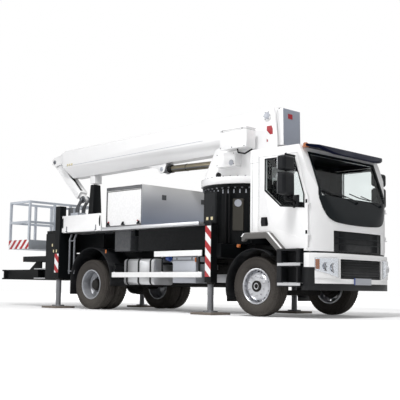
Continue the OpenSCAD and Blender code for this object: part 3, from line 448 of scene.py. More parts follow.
def rounded(mesh, name, width, segments=2, angle=32):
    """Rounds the edges of a mesh and keeps its flat faces flat in shading."""
    source = shown(mesh, name + "_source")
    source.data.shade_smooth()
    bevel = source.modifiers.new("edges", "BEVEL")
    bevel.width = width
    bevel.segments = segments
    bevel.limit_method = "ANGLE"
    bevel.angle_limit = math.radians(angle)
    bevel.use_clamp_overlap = True
    bevel.harden_normals = True
    return baked(source, name)


def place_piece(mesh, name, look, body, replaced=(), smooth_angle=None):
    """Shows a mesh in its look, on its body."""
    mesh.materials.clear()
    mesh.materials.append(LOOKS[look])
    if smooth_angle is not None:
        mesh.shade_smooth()
        mesh.set_sharp_from_angle(angle=math.radians(smooth_angle))
    made = shown(mesh, name)
    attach(made, body)
    if replaced:
        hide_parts(*replaced)
    return made


def finish_piece(bm, name, look, body="chassis", bevel=0.0, segments=2, replaced=(),
                 smooth=35):
    """Turns a shape into a shown piece that rides on a body."""
    bmesh.ops.translate(bm, vec=(AXLE_X, 0, 0), verts=bm.verts)
    mesh = bpy.data.meshes.new(name)
    bm.to_mesh(mesh)
    bm.free()
    if bevel:
        mesh = rounded(mesh, name, bevel, segments)
        smooth = None
    return place_piece(mesh, name, look, body, replaced, smooth)


def merged_copy(name, cuts=()):
    """Copy of a CAD node's mesh with its loose triangles joined and its flat faces whole."""
    bm = bmesh.new()
    bm.from_mesh(frame["nodes"][name].data)
    bmesh.ops.remove_doubles(bm, verts=bm.verts, dist=2e-5)
    bmesh.ops.dissolve_limit(bm, angle_limit=math.radians(1.0), verts=bm.verts, edges=bm.edges)
    for point, normal in cuts:
        bmesh.ops.bisect_plane(bm, geom=bm.verts[:] + bm.edges[:] + bm.faces[:],
                               plane_co=Vector(point) + Vector((AXLE_X, 0, 0)), plane_no=normal)
    mesh = bpy.data.meshes.new(name + "_copy")
    bm.to_mesh(mesh)
    bm.free()
    return mesh


def node_body(name):
    """Body that a CAD node rides on."""
    for body, members in frame["record"]["behaviour"]["bodies"].items():
        if name in members:
            return body


def node_slot(name):
    for part in frame["record"]["subparts"]:
        if part["node"] == name:
            return part["material_slot"]


def soften(name, width=0.006, segments=2, look=None, angle=32, paints=(), cuts=()):
    """A CAD node's own shape with rounded edges, shown in its place.

    paints are (look, test) pairs; a test gets a face's centre and normal.
    cuts are (point, normal) planes that divide faces before they are painted.
    """
    mesh = rounded(merged_copy(name, cuts), name + "_rounded", width, segments, angle)
    slot = node_slot(name)
    made = place_piece(mesh, name + "_rounded", look or slot, node_body(name), (name,))
    back = Vector((AXLE_X, 0, 0))
    for paint, test in paints:
        mesh.materials.append(LOOKS[paint])
        index = len(mesh.materials) - 1
        for face in mesh.polygons:
            if test(face.center - back, face.normal):
                face.material_index = index
    return made


def keep(name):
    """A CAD node that is right as it is, with its finish."""
    shown_node = frame["nodes"][name]
    shown_node.data.materials.clear()
    shown_node.data.materials.append(LOOKS[node_slot(name)])


# ---------- repeats ----------

def copies_tree(name, sockets):
    tree = bpy.data.node_groups.new(name, "GeometryNodeTree")
    for socket, kind in sockets:
        tree.interface.new_socket(socket, in_out="INPUT", socket_type=kind)
    tree.interface.new_socket("Geometry", in_out="OUTPUT", socket_type="NodeSocketGeometry")
    return tree, tree.nodes.new("NodeGroupInput"), tree.nodes.new("NodeGroupOutput")


def end_tree(tree, source, sink, points, rotation=None):
    pick = node(tree, "GeometryNodeObjectInfo", transform_space="ORIGINAL")
    tree.links.new(source.outputs["Pattern"], pick.inputs["Object"])
    place = node(tree, "GeometryNodeInstanceOnPoints")
    tree.links.new(points, place.inputs["Points"])
    tree.links.new(pick.outputs["Geometry"], place.inputs["Instance"])
    if rotation is not None:
        tree.links.new(rotation, place.inputs["Rotation"])
    real = node(tree, "GeometryNodeRealizeInstances")
    tree.links.new(place.outputs[0], real.inputs[0])
    paint = node(tree, "GeometryNodeSetMaterial")
    tree.links.new(real.outputs[0], paint.inputs["Geometry"])
    tree.links.new(source.outputs["Material"], paint.inputs["Material"])
    tree.links.new(paint.outputs[0], sink.inputs[0])


def build_row_tree():
    """Copies of a pattern in a straight row."""
    tree, source, sink = copies_tree("row_of_copies", [
        ("Pattern", "NodeSocketObject"), ("Count", "NodeSocketInt"), ("Start", "NodeSocketVector"),
        ("Step", "NodeSocketVector"), ("Material", "NodeSocketMaterial")])
    line = node(tree, "GeometryNodeMeshLine", mode="OFFSET")
    for a, b in (("Count", "Count"), ("Start", "Start Location"), ("Step", "Offset")):
        tree.links.new(source.outputs[a], line.inputs[b])
    end_tree(tree, source, sink, line.outputs[0])
    return tree


def build_ring_tree():
    """Copies of a pattern round an axis along Y, each turned to face outwards."""
    tree, source, sink = copies_tree("ring_of_copies", [
        ("Pattern", "NodeSocketObject"), ("Count", "NodeSocketInt"), ("Start", "NodeSocketVector"),
        ("Turn", "NodeSocketVector"), ("Material", "NodeSocketMaterial")])
    line = node(tree, "GeometryNodeMeshLine", mode="OFFSET")
    tree.links.new(source.outputs["Count"], line.inputs["Count"])
    tree.links.new(source.outputs["Start"], line.inputs["Start Location"])
    line.inputs["Offset"].default_value = (0, 0, 0)
    turn = node(tree, "ShaderNodeVectorMath", operation="SCALE")
    tree.links.new(source.outputs["Turn"], turn.inputs[0])
    tree.links.new(node(tree, "GeometryNodeInputIndex").outputs[0], turn.inputs["Scale"])
    spin = node(tree, "FunctionNodeEulerToRotation")
    tree.links.new(turn.outputs[0], spin.inputs[0])
    end_tree(tree, source, sink, line.outputs[0], spin.outputs[0])
    return tree


ROW_TREE = build_row_tree()
RING_TREE = build_ring_tree()


def set_inputs(modifier, **values):
    sockets = {i.name: i.identifier for i in modifier.node_group.interface.items_tree
               if i.in_out == "INPUT"}
    for key, value in values.items():
        modifier[sockets[key]] = value


def repeated(bm, name, tree, look, body, slot, smooth=35, **values):
    """Repeats a small shape with a geometry node tree; start points are from the front axle."""
    pattern_mesh = bpy.data.meshes.new(name + "_pattern")
    bm.to_mesh(pattern_mesh)
    bm.free()
    pattern = shown(pattern_mesh, name + "_pattern")
    holder = shown(bpy.data.meshes.new(name + "_holder"), name + "_holder")
    modifier = holder.modifiers.new("copies", "NODES")
    modifier.node_group = tree
    start = Vector(values.pop("Start")) + Vector((AXLE_X, 0, 0))
    set_inputs(modifier, Pattern=pattern, Start=start, Material=LOOKS[look], **values)
    mesh = baked(holder, name)
    bpy.data.objects.remove(pattern)
    return place_piece(mesh, name, look, body, (), smooth)


def row(bm, name, look, body, start, step, count, smooth=35, slot=None):
    return repeated(bm, name, ROW_TREE, look, body, slot, smooth,
                    Start=start, Step=Vector(step), Count=count)


def ring(bm, name, look, body, centre, count, axis="Y", smooth=35, slot=None):
    part = 2 * math.pi / count
    turn = {"X": (part, 0, 0), "Y": (0, part, 0), "Z": (0, 0, part)}[axis]
    return repeated(bm, name, RING_TREE, look, body, slot, smooth,
                    Start=centre, Turn=Vector(turn), Count=count)


# ---------- cab ----------

def screen_line(z):
    """How far forward the middle of the cab front stands at a height."""
    corners = ((1.08, 1.29), (1.40, 1.29), (1.65, 1.28), (1.95, 1.21), (2.70, 0.945), (2.83, 0.885))
    for (z0, x0), (z1, x1) in zip(corners, corners[1:]):
        if z <= z1:
            return x0 + (x1 - x0) * (z - z0) / (z1 - z0)
    return corners[-1][1]


def cab_front(y, z):
    return min(screen_line(z), 1.29 - 0.25 * abs(y / CAB_HALF_W) ** 4)


def bumper_front(y, z):
    return 1.34 - 0.25 * abs(y / CAB_HALF_W) ** 4


def add_front_panel(bm, surface, ys, low, high, near, far, rows=4):
    """Closed panel that follows a front surface; low and high are heights at a given y."""
    grids = []
    for out in (near, far):
        grid = []
        for y in ys:
            zs = [low(y) + (high(y) - low(y)) * j / rows for j in range(rows + 1)]
            grid.append([bm.verts.new((surface(y, z) + out, y, z)) for z in zs])
        grids.append(grid)
    made, last = [], len(ys) - 1
    for grid in grids:
        for i in range(last):
            for j in range(rows):
                made.append(bm.faces.new((grid[i][j], grid[i + 1][j], grid[i + 1][j + 1],
                                          grid[i][j + 1])))
    a, b = grids
    for i in range(last):
        for j in (0, rows):
            made.append(bm.faces.new((a[i][j], a[i + 1][j], b[i + 1][j], b[i][j])))
    for i in (0, last):
        for j in range(rows):
            made.append(bm.faces.new((a[i][j], a[i][j + 1], b[i][j + 1], b[i][j])))
    bmesh.ops.recalc_face_normals(bm, faces=made)


def spread(a, b, count):
    """Even steps from a to b."""
    return [a + (b - a) * i / count for i in range(count + 1)]


def inside_cab(c, _):
    return (abs(c.y) < 1.103 and -0.103 < c.x < cab_front(c.y, c.z) - 0.03 and 1.16 < c.z < 2.79)


def build_cab():
    soften("cab_shell", 0.016, 3, paints=[("interior_plastic", inside_cab),
                                          ("arch_grey",
                                           lambda c, n: abs(c.y) > 1.152 and c.z < 1.30)])
    keep("cab_glass")
    soften("dashboard", 0.012)
    soften("seats", 0.03, 3)
    soften("sun_visor", 0.010, 2)
    for _, side in SIDES:
        soften("door_" + side, 0.008, 2, paints=[
            ("black_plastic", lambda c, n: abs(c.y) > 1.153 and c.x < 1.05),
            ("interior_plastic", lambda c, n: abs(c.y) < 1.104)])
        keep("door_glass_" + side)


def build_screen_surround():
    """Gloss black mask below the windscreen, its side bands and the wipers."""
    bm = bmesh.new()
    half = 0.975
    low_edge = lambda y: 1.53 + 0.05 * (y / half) ** 2 + 0.36 * abs(y / half) ** 9
    add_front_panel(bm, cab_front, spread(-half, half, 32), low_edge, lambda y: 1.985, 0.002, 0.010, 8)
    for s in (-1, 1):
        add_front_panel(bm, cab_front, spread(s * 0.935, s * 0.985, 2), lambda y: 1.985,
                        lambda y: 2.70, 0.002, 0.009, 8)
    add_front_panel(bm, cab_front, spread(-0.985, 0.985, 24), lambda y: 2.672, lambda y: 2.72,
                    0.002, 0.009, 2)
    finish_piece(bm, "screen_mask", "dark_glass", bevel=0.003)
    bm = bmesh.new()
    for y in (0.75, 0.02):
        foot = Vector((screen_line(1.93) + 0.03, y, 1.93))
        tip = Vector((screen_line(2.06) + 0.022, y - 0.56, 2.06))
        add_tube(bm, [foot, foot + Vector((0.012, -0.03, 0.02)), tip], 0.008, 8)
        blade = Vector((screen_line(2.045) + 0.02, y - 0.62, 2.025))
        add_tube(bm, [blade + Vector((0, 0.34, -0.02)), blade, blade + Vector((-0.02, -0.26, 0.05))],
                 0.009, 8)
        add_rod(bm, (foot.x - 0.03, y, 1.925), (foot.x + 0.012, y, 1.932), 0.02, 16)
    finish_piece(bm, "wipers", "black_plastic")


def build_grille():
    soften("grille", 0.004, 1)
    rib = bmesh.new()
    add_box(rib, (-0.006, -0.006, 0.0), (0.012, 0.006, 0.30))
    row(rib, "grille_ribs", "black_plastic", "chassis", (1.268, -0.55, 1.10), (0, 0.0275, 0), 41)
    slat = bmesh.new()
    add_sheet(slat, [(0.0, 0.0), (0.022, -0.008), (0.026, -0.004), (0.004, 0.012)], -0.56, 0.56)
    row(slat, "intake_slats", "black_plastic", "chassis", (1.302, 0, 0.675), (0, 0, 0.043), 7)
    bm = bmesh.new()
    for z in (1.205, 1.305):
        add_front_panel(bm, cab_front, spread(-0.66, 0.66, 16), lambda y: z, lambda y: z + 0.014,
                        -0.004, 0.006, 1)
    finish_piece(bm, "grille_bars", "dark_glass", bevel=0.002)


def build_front_end():
    low = lambda c, n: c.z < 0.561
    corner = lambda c, n: c.x < 0.99
    flank = lambda c, n: c.x < 1.15 and c.z < 0.82
    soften("front_bumper", 0.014, 3, cuts=[((0, 0, 0.56), (0, 0, 1)), ((0, 0, 0.82), (0, 0, 1)),
                                           ((0.99, 0, 0), (1, 0, 0)), ((1.15, 0, 0), (1, 0, 0))],
           paints=[("black_plastic", lambda c, n: low(c, n) or corner(c, n) or flank(c, n))])
    bm = bmesh.new()
    add_front_panel(bm, cab_front, spread(-1.04, 1.04, 28), lambda y: 1.048, lambda y: 1.078,
                    -0.05, -0.012, 1)
    finish_piece(bm, "nose_gap", "black_plastic")
    bm = bmesh.new()
    add_box(bm, (1.3405, -0.22, 0.545), (1.346, 0.26, 0.655))
    finish_piece(bm, "front_plate", "box_grey", bevel=0.002)
    bm = bmesh.new()
    add_box(bm, (1.3455, -0.26, 0.545), (1.347, -0.22, 0.655))
    finish_piece(bm, "front_plate_band", "blue_cap", bevel=0.0005)


def build_headlights():
    for s, side in SIDES:
        bm = bmesh.new()
        ys = spread(s * 0.664, s * 1.075, 10)
        foot = lambda y: 0.655 + 0.11 * (abs(y) - 0.664) / 0.41
        add_front_panel(bm, bumper_front, ys, foot, lambda y: 0.972, 0.001, 0.004, 2)
        add_front_panel(bm, bumper_front, ys, foot, lambda y: foot(y) + 0.010, 0.003, 0.016, 1)
        add_front_panel(bm, bumper_front, ys, lambda y: 0.962, lambda y: 0.972, 0.003, 0.016, 1)
        finish_piece(bm, "headlight_case_" + side, "rod_chrome")
        bm = bmesh.new()
        add_front_panel(bm, bumper_front, ys, lambda y: 0.648, lambda y: foot(y) + 0.003, 0.0, 0.012, 2)
        finish_piece(bm, "headlight_sill_" + side, "white_paint")
        bm = bmesh.new()
        for y, z, r in ((0.75, 0.815, 0.075), (0.90, 0.83, 0.066)):
            face = bumper_front(y, z) + 0.010
            add_turned(bm, (face, s * y, z), (1, 0, 0),
                       [(0, r), (-0.004, r * 0.86), (-0.006, r * 0.45), (-0.006, 0.0), (-0.009, 0.0),
                        (-0.009, r * 0.5), (-0.008, r * 0.93), (0, r + 0.006)], 32)
            add_turned(bm, (face, s * y, z), (1, 0, 0),
                       [(0, 0), (0.0, 0.012), (-0.002, 0.02), (-0.006, 0.02), (-0.006, 0)], 16)
        add_front_panel(bm, bumper_front, spread(s * 0.69, s * 0.96, 6), lambda y: 0.735,
                        lambda y: 0.752, 0.004, 0.010, 1)
        finish_piece(bm, "headlight_bowls_" + side, "rod_chrome")
        bm = bmesh.new()
        add_front_panel(bm, bumper_front, spread(s * 1.01, s * 1.065, 4), lambda y: 0.79,
                        lambda y: 0.95, 0.004, 0.010, 2)
        finish_piece(bm, "indicator_" + side, "amber", bevel=0.003)
        bm = bmesh.new()
        add_front_panel(bm, bumper_front, ys, lambda y: foot(y) + 0.002, lambda y: 0.970, 0.014, 0.018, 4)
        made = finish_piece(bm, "headlight_cover_" + side, "lamp_glass")
        if s < 0:
            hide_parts("lights")
    bm = bmesh.new()
    add_turned(bm, (0.96, -1.06, 2.775), (0, 0, 1), [(0, 0), (0, 0.056), (0.02, 0.056), (0.02, 0.047),
               (0.062, 0.044), (0.080, 0.028), (0.087, 0.0)], 32)
    for s in (-1, 1):
        add_box(bm, (-7.065, s * 0.90, 1.012), (-7.038, s * 1.08, 1.108))
        add_box(bm, (-3.93, s * 1.222, 1.13), (-3.89, s * 1.232, 1.20))
        add_box(bm, (-1.46, s * 1.152, 0.93), (-1.42, s * 1.16, 1.01))
        add_tube(bm, [(-0.36, s * 1.18, 1.19), (-0.36, s * 1.225, 1.19)], 0.03, 16)
    finish_piece(bm, "amber_lamps", "amber", bevel=0.002)


def build_cab_trim():
    """Door handles and window frames, cab seams, and the treads and wells of the steps."""
    for s, side in SIDES:
        bm = bmesh.new()
        handle = [(0.10, 1.51), (0.235, 1.51), (0.245, 1.55), (0.225, 1.66), (0.10, 1.66), (0.09, 1.58)]
        add_sheet(bm, handle, s * 1.149, s * 1.158)
        add_sheet(bm, [(0.185, 1.53), (0.215, 1.53), (0.205, 1.645), (0.18, 1.645)], s * 1.157, s * 1.182)
        border = [(0.165, 2.105), (0.165, 2.655), (0.79, 2.655), (1.005, 1.99), (1.005, 1.775),
                  (0.505, 1.82)]
        hole = [(0.19, 2.125), (0.19, 2.632), (0.78, 2.632), (0.98, 1.995), (0.98, 1.80), (0.515, 1.845)]
        add_frame(bm, border, hole, s * 1.146, s * 1.156)
        finish_piece(bm, "door_trim_" + side, "black_plastic", "door_" + side, bevel=0.002)
        bm = bmesh.new()
        for x, z1 in ((-0.105, 2.75), (0.02, 2.72)):
            add_sheet(bm, [(x, 1.44), (x + 0.004, 1.44), (x + 0.004, z1), (x, z1)],
                      s * 1.1495, s * 1.1512)
        add_sheet(bm, [(-0.145, 2.60), (-0.145, 2.604), (0.02, 2.604), (0.02, 2.60)], s * 1.1495,
                  s * 1.1512)
        finish_piece(bm, "cab_seams_" + side, "seam")
        bm = bmesh.new()
        for z in (0.56, 0.88):
            add_side_box(bm, s, (0.605, 1.065, z), (0.975, 1.236, z + 0.006))
            add_side_box(bm, s, (0.52, 1.236, z - 0.04), (0.985, 1.246, z + 0.006))
        finish_piece(bm, "step_treads_" + side, "body_aluminium", bevel=0.0015)
        for k, z in enumerate((0.566, 0.886)):
            tooth = bmesh.new()
            add_box(tooth, (-0.006, -0.012, 0), (0.006, 0.012, 0.007))
            row(tooth, "tread_teeth_%d_%s" % (k, side), "body_aluminium", "chassis", (0.62, s * 1.19, z),
                (0.024, 0, 0), 12)
        bm = bmesh.new()
        add_side_box(bm, s, (0.60, 1.03, 0.50), (1.00, 1.055, 1.105))
        finish_piece(bm, "step_well_" + side, "black_plastic", bevel=0.004)
    build_fenders()
    build_mirrors()
    soften("cab_steps", 0.010, 2)


def build_fenders():
    """Broad grey trim over the front wheels and the foot of each door above it."""
    band = [(-0.288, 1.26), (-0.275, 1.345), (-0.22, 1.41), (0.29, 1.41), (0.60, 1.115),
            (0.60, 1.07), (0.50, 1.07), (0.25, 1.30), (-0.19, 1.30), (-0.23, 1.26)]
    skirt = [(0.31, 1.40), (0.62, 1.12), (1.060, 1.12), (1.060, 1.24), (0.70, 1.36), (0.40, 1.46)]
    for s, side in SIDES:
        bm = bmesh.new()
        add_sheet(bm, band, s * 1.140, s * 1.232)
        finish_piece(bm, "fender_trim_" + side, "arch_grey", bevel=0.022, segments=4)
        bm = bmesh.new()
        add_sheet(bm, skirt, s * 1.132, s * 1.152)
        finish_piece(bm, "door_foot_" + side, "white_paint", "door_" + side, bevel=0.004)


def build_mirrors():
    """Rounded black housings with their glass at the back, two a side on the doors."""
    for s, side in SIDES:
        bm = bmesh.new()
        glass = bmesh.new()
        low, high = sorted((s * 1.235, s * 1.526))
        for z0, z1 in ((1.975, 2.345), (2.372, 2.612)):
            add_box(bm, (0.715, low, z0), (0.885, high, z1))
            add_box(glass, (0.711, low + 0.03, z0 + 0.03), (0.717, high - 0.03, z1 - 0.03))
        finish_piece(bm, "mirror_housings_" + side, "black_plastic", "door_" + side, bevel=0.052,
                     segments=6)
        finish_piece(glass, "mirror_glass_" + side, "mirror_face", "door_" + side, bevel=0.0015)


def add_frame(bm, outer, inner, a, b):
    """Ring between two outlines with the same number of corners, pushed along Y."""
    rings = [[bm.verts.new((x, y, z)) for x, z in line] for y in (a, b) for line in (outer, inner)]
    low_out, low_in, high_out, high_in = rings
    made, n = [], len(outer)
    for i in range(n):
        j = (i + 1) % n
        for p, q in ((low_out, low_in), (high_out, high_in), (low_out, high_out), (low_in, high_in)):
            made.append(bm.faces.new((p[i], p[j], q[j], q[i])))
    bmesh.ops.recalc_face_normals(bm, faces=made)


# ---------- wheels ----------

def tyre_profile():
    """Distance from the wheel's middle and radius, round one tyre section."""
    half = [(0.100, 0.288), (0.104, 0.300), (0.120, 0.322), (0.133, 0.350), (0.139, 0.385),
            (0.139, 0.415), (0.134, 0.445), (0.126, 0.468), (0.119, 0.484), (0.104, 0.497),
            (0.088, 0.501), (0.071, 0.5025), (0.069, 0.490), (0.061, 0.490), (0.059, 0.5035),
            (0.030, 0.5045), (0.028, 0.491), (0.020, 0.491), (0.018, 0.505)]
    return half + [(-y, r) for y, r in reversed(half)]


def build_tyre(name, body, node_name, x, ys):
    bm = bmesh.new()
    for y in ys:
        add_turned(bm, (x, y, AXLE_Z), (0, 1, 0), tyre_profile(), 96)
    finish_piece(bm, name, "tyre", body, replaced=(node_name,), smooth=28)
    for k, y in enumerate(ys):
        lug = bmesh.new()
        for s in (-1, 1):
            add_tread_lug(lug, s)
        ring(lug, "%s_lugs_%d" % (name, k), "tyre", body, (x, y, AXLE_Z), 56, "Y", 20)
        mark = bmesh.new()
        for s in (-1, 1):
            add_side_box(mark, s, (-0.0045, 0.1365, 0.425), (0.0045, 0.1405, 0.462))
        ring(mark, "%s_ribs_%d" % (name, k), "tyre", body, (x, y, AXLE_Z), 72, "Y", 20)


def add_tread_lug(bm, s):
    """Shoulder block and a centre block of the tread, at the top of the tyre."""
    for y0, y1, x0, x1, top in ((0.078, 0.122, -0.019, 0.019, 0.5035), (0.034, 0.056, -0.021, 0.012,
                                                                        0.505)):
        low, high = sorted((s * y0, s * y1))
        shift = 0.008 if s > 0 else -0.008
        base = top - 0.024
        verts = []
        for y in (low, high):
            drop = 0.012 if abs(y) > 0.1 else 0.0
            for x, z in ((x0, base - drop), (x1, base - drop), (x1 - 0.002, top - drop),
                         (x0 + 0.002, top - drop)):
                verts.append(bm.verts.new((x + shift, y, z)))
        faces = ((0, 1, 2, 3), (7, 6, 5, 4), (0, 4, 5, 1), (1, 5, 6, 2), (2, 6, 7, 3), (3, 7, 4, 0))
        bmesh.ops.recalc_face_normals(bm, faces=[bm.faces.new([verts[i] for i in f]) for f in faces])


def add_nut(bm, r0, y0, out, size, reach):
    """Six-sided nut at radius r0 above the wheel centre, pointing along Y."""
    turns = [math.pi * k / 3 for k in range(6)]
    corners = [(size * math.cos(t), r0 + size * math.sin(t)) for t in turns]
    add_sheet(bm, corners, y0, y0 + out * reach)
    small = [(x * 0.55, r0 + (z - r0) * 0.55) for x, z in corners]
    add_sheet(bm, small, y0 + out * reach, y0 + out * (reach + 0.014))


def build_wheels():
    for s, side in SIDES:
        build_tyre("front_tyre_%s_round" % side, "wheel_front_" + side, "front_tyre_" + side, 0.0,
                   [s * 1.04])
        build_tyre("rear_tyres_%s_round" % side, "wheel_rear_" + side, "rear_tyres_" + side, REAR_AXLE,
                   [s * 0.77, s * 1.08])
        for rim in ("front_rim_", "rear_rims_"):
            soften(rim + side, 0.004, 2, angle=25)
        nut = bmesh.new()
        add_nut(nut, 0.1675, s * 1.138, s, 0.019, 0.020)
        ring(nut, "front_nuts_" + side, "rod_chrome", "wheel_front_" + side, (0, 0, AXLE_Z), 10)
        cup = bmesh.new()
        add_turned(cup, (0, s * 1.15, AXLE_Z), (0, s, 0), [(-0.02, 0.0), (-0.02, 0.095), (0.008, 0.095),
                   (0.018, 0.080), (0.020, 0.060), (-0.004, 0.052), (-0.004, 0.0)], 40)
        finish_piece(cup, "front_hub_" + side, "dark_metal", "wheel_front_" + side)
        window = bmesh.new()
        add_turned(window, (0, s * 1.095, 0.2455), (0, s * 0.581, 0.814),
                   [(0.0, 0.0), (0.0, 0.022), (0.0035, 0.022),
                   (0.0045, 0.020), (0.0045, 0.0)], 24)
        ring(window, "front_rim_windows_" + side, "dark_metal", "wheel_front_" + side, (0, 0, AXLE_Z), 10)
        nut = bmesh.new()
        add_nut(nut, 0.1675, s * 0.939, s, 0.019, 0.022)
        ring(nut, "rear_nuts_" + side, "jack_steel", "wheel_rear_" + side, (REAR_AXLE, 0, AXLE_Z), 10)
        cup = bmesh.new()
        add_turned(cup, (REAR_AXLE, s * 1.0, AXLE_Z), (0, s, 0), [(-0.02, 0.0), (-0.02, 0.122),
                                                                  (0.055, 0.120),
                   (0.075, 0.105), (0.095, 0.100), (0.105, 0.085), (0.105, 0.0)], 40)
        finish_piece(cup, "rear_hub_" + side, "dark_metal", "wheel_rear_" + side)
        for name, x, y in (("front", 0.0, 1.146), ("rear", REAR_AXLE, 1.186)):
            lip = bmesh.new()
            add_turned(lip, (x, s * y, AXLE_Z), (0, s, 0), [(-0.012, 0.276), (-0.012, 0.298),
                                                            (0.004, 0.303),
                       (0.012, 0.300), (0.014, 0.290), (0.006, 0.280)], 72)
            finish_piece(lip, "%s_rim_lip_%s" % (name, side),
                         "rim_alloy" if name == "front" else "rim_silver", "wheel_%s_%s" % (name, side))


# ---------- platform body ----------

def build_deck():
    soften("bed_deck", 0.004, 2, paints=[("black_paint", lambda c, n: c.z < 1.585)])
    soften("mudguards", 0.004, 1)
    rail = lambda c: 0.62 < c.z < 0.78 or 1.01 < c.z < 1.17
    soften("side_guards", 0.008, 3, look="white_paint",
           paints=[("black_paint", lambda c, n: not rail(c) or abs(c.y) < 1.14)])
    # The locker's forward faces get the painted shade finish.
    soften("tool_locker", 0.006, 2, paints=[("locker_front_painted_shade", lambda c, n: c.x > -2.945),
                                            ("white_paint", lambda c,
                                             n: abs(c.y) > 1.145 and c.z > 2.30)])
    bm = bmesh.new()
    for s in (-1, 1):
        add_side_box(bm, s, (-5.75, 0.70, 1.19), (-4.60, 0.72, 1.588))
    finish_piece(bm, "under_deck_boards", "black_paint", bevel=0.002)
    for s, side in SIDES:
        slat = bmesh.new()
        low, high = sorted((0.0, s * 0.012))
        add_sheet(slat, [(low, 0.0), (high, 0.004), (high, 0.022), (low, 0.0265)], -0.518, 0.518, "X")
        made = row(slat, "shutter_slats_" + side, "white_paint", "chassis", (-3.485, s * 1.124, 1.684),
                   (0, 0, 0.0265), 26, 25)
        if s < 0:
            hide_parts("locker_shutters")
        bm = bmesh.new()
        add_side_box(bm, s, (-4.003, 1.10, 1.682), (-2.967, 1.123, 2.383))
        finish_piece(bm, "shutter_backing_" + side, "grey_paint")
        bm = bmesh.new()
        for x in (-3.96, -3.50, -3.03):
            add_side_box(bm, s, (x - 0.05, 1.136, 1.69), (x + 0.05, 1.160, 1.71))
            add_side_box(bm, s, (x - 0.02, 1.136, 1.70), (x + 0.02, 1.160, 1.755))
            add_tube(bm, [(x - 0.045, s * 1.15, 1.715), (x + 0.03, s * 1.165, 1.745)], 0.009, 8)
        finish_piece(bm, "shutter_latches_" + side, "black_plastic", bevel=0.003)
        bm = bmesh.new()
        for x in (-3.94, -3.05):
            add_tube(bm, [(x, s * 1.145, 1.75), (x, s * 1.165, 1.765)], 0.014, 12)
        finish_piece(bm, "latch_knobs_" + side, "red_mark", bevel=0.002)
    bm = bmesh.new()
    add_box(bm, (-2.939, -0.62, 2.20), (-2.935, -0.50, 2.30))
    add_box(bm, (-2.939, 0.50, 2.20), (-2.935, 0.62, 2.30))
    finish_piece(bm, "locker_handles", "grey_paint", bevel=0.001)


def build_dropsides():
    for s, side in SIDES:
        body = "dropside_" + side
        soften(body, 0.005, 2)
        bm = bmesh.new()
        for x in (-5.355, -4.105):
            add_side_box(bm, s, (x, 1.249, 1.69), (x + 0.022, 1.262, 1.90))
            add_tube(bm, [(x + 0.011, s * 1.262, 1.71), (x + 0.011, s * 1.272, 1.75),
                          (x + 0.011, s * 1.272, 1.84), (x + 0.011, s * 1.262, 1.88)], 0.007, 8)
        finish_piece(bm, "dropside_handles_" + side, "black_plastic", body, bevel=0.002)
        bm = bmesh.new()
        for x in (-5.22, -4.24):
            add_side_box(bm, s, (x, 1.247, 1.605), (x + 0.022, 1.258, 1.72))
            add_rod(bm, (x - 0.012, s * 1.258, 1.612), (x + 0.034, s * 1.258, 1.612), 0.010, 12)
        finish_piece(bm, "dropside_hinges_" + side, "jack_steel", body, bevel=0.002)


def build_underbed():
    light = lambda c, n: c.x > -2.10
    soften("underbed_boxes", 0.008, 2, paints=[("box_grey", light),
                                               ("body_aluminium", lambda c,
                                                n: c.x < -2.5 and c.z < 1.02)])
    soften("fuel_tank", 0.004, 1, angle=50)
    for x in (-3.34, -3.00, -2.66):
        bm = bmesh.new()
        add_sheet(bm, tank_section(0.004), x - 0.024, x + 0.024, "X")
        finish_piece(bm, "tank_strap_%d" % round(-x * 100), "black_plastic", bevel=0.001)
    bm = bmesh.new()
    add_rod(bm, (-3.20, -0.95, 1.00), (-3.20, -0.95, 1.035), 0.05, 24)
    finish_piece(bm, "tank_cap", "black_plastic", bevel=0.004)
    bm = bmesh.new()
    add_rod(bm, (-2.19, -1.06, 0.99), (-2.19, -1.155, 1.02), 0.045, 24)
    finish_piece(bm, "additive_cap", "blue_cap", bevel=0.006)
    bm = bmesh.new()
    add_tube(bm, [(-2.19, -1.07, 0.995), (-2.19, -1.00, 0.96), (-2.15, -0.97, 0.90),
                  (-2.04, -0.97, 0.88)],
             0.034, 14)
    finish_piece(bm, "additive_neck", "body_aluminium")
    for s, side in SIDES:
        bm = bmesh.new()
        low, high = sorted((s * 1.149, s * 1.156))
        add_box(bm, (-2.03, low, 0.955), (-1.45, high, 0.975))
        for x in (-1.95, -1.56):
            add_box(bm, (x, low, 0.97), (x + 0.04, s * 1.166 if s > 0 else high, 1.015))
        add_box(bm, (-2.03, low, 0.745), (-1.45, high, 0.752))
        finish_piece(bm, "side_box_lid_" + side, "jack_steel", bevel=0.002)
        bm = bmesh.new()
        add_side_box(bm, s, (-3.86, 1.023, 1.19), (-3.42, 1.029, 1.57))
        for x, z in ((-3.84, 1.21), (-3.84, 1.55), (-3.44, 1.21), (-3.44, 1.55), (-3.44, 1.38)):
            add_rod(bm, (x, s * 1.028, z), (x, s * 1.034, z), 0.010, 10)
        finish_piece(bm, "rear_box_door_" + side, "grey_paint", bevel=0.002)


def tank_section(proud):
    """Outline in Y and Z of the right-hand tank, standing proud of its skin."""
    y0, y1, z0, z1, r = -1.145 - proud, -0.62 + proud, 0.51 - proud, 1.01 + proud, 0.07
    points = []
    for cy, cz, start in ((y1 - r, z1 - r, 0), (y0 + r, z1 - r, 90), (y0 + r, z0 + r, 180),
                          (y1 - r, z0 + r, 270)):
        for k in range(7):
            t = math.radians(start + 15 * k)
            points.append((cy + r * math.cos(t), cz + r * math.sin(t)))
    return points


# ---------- outriggers and tail ----------

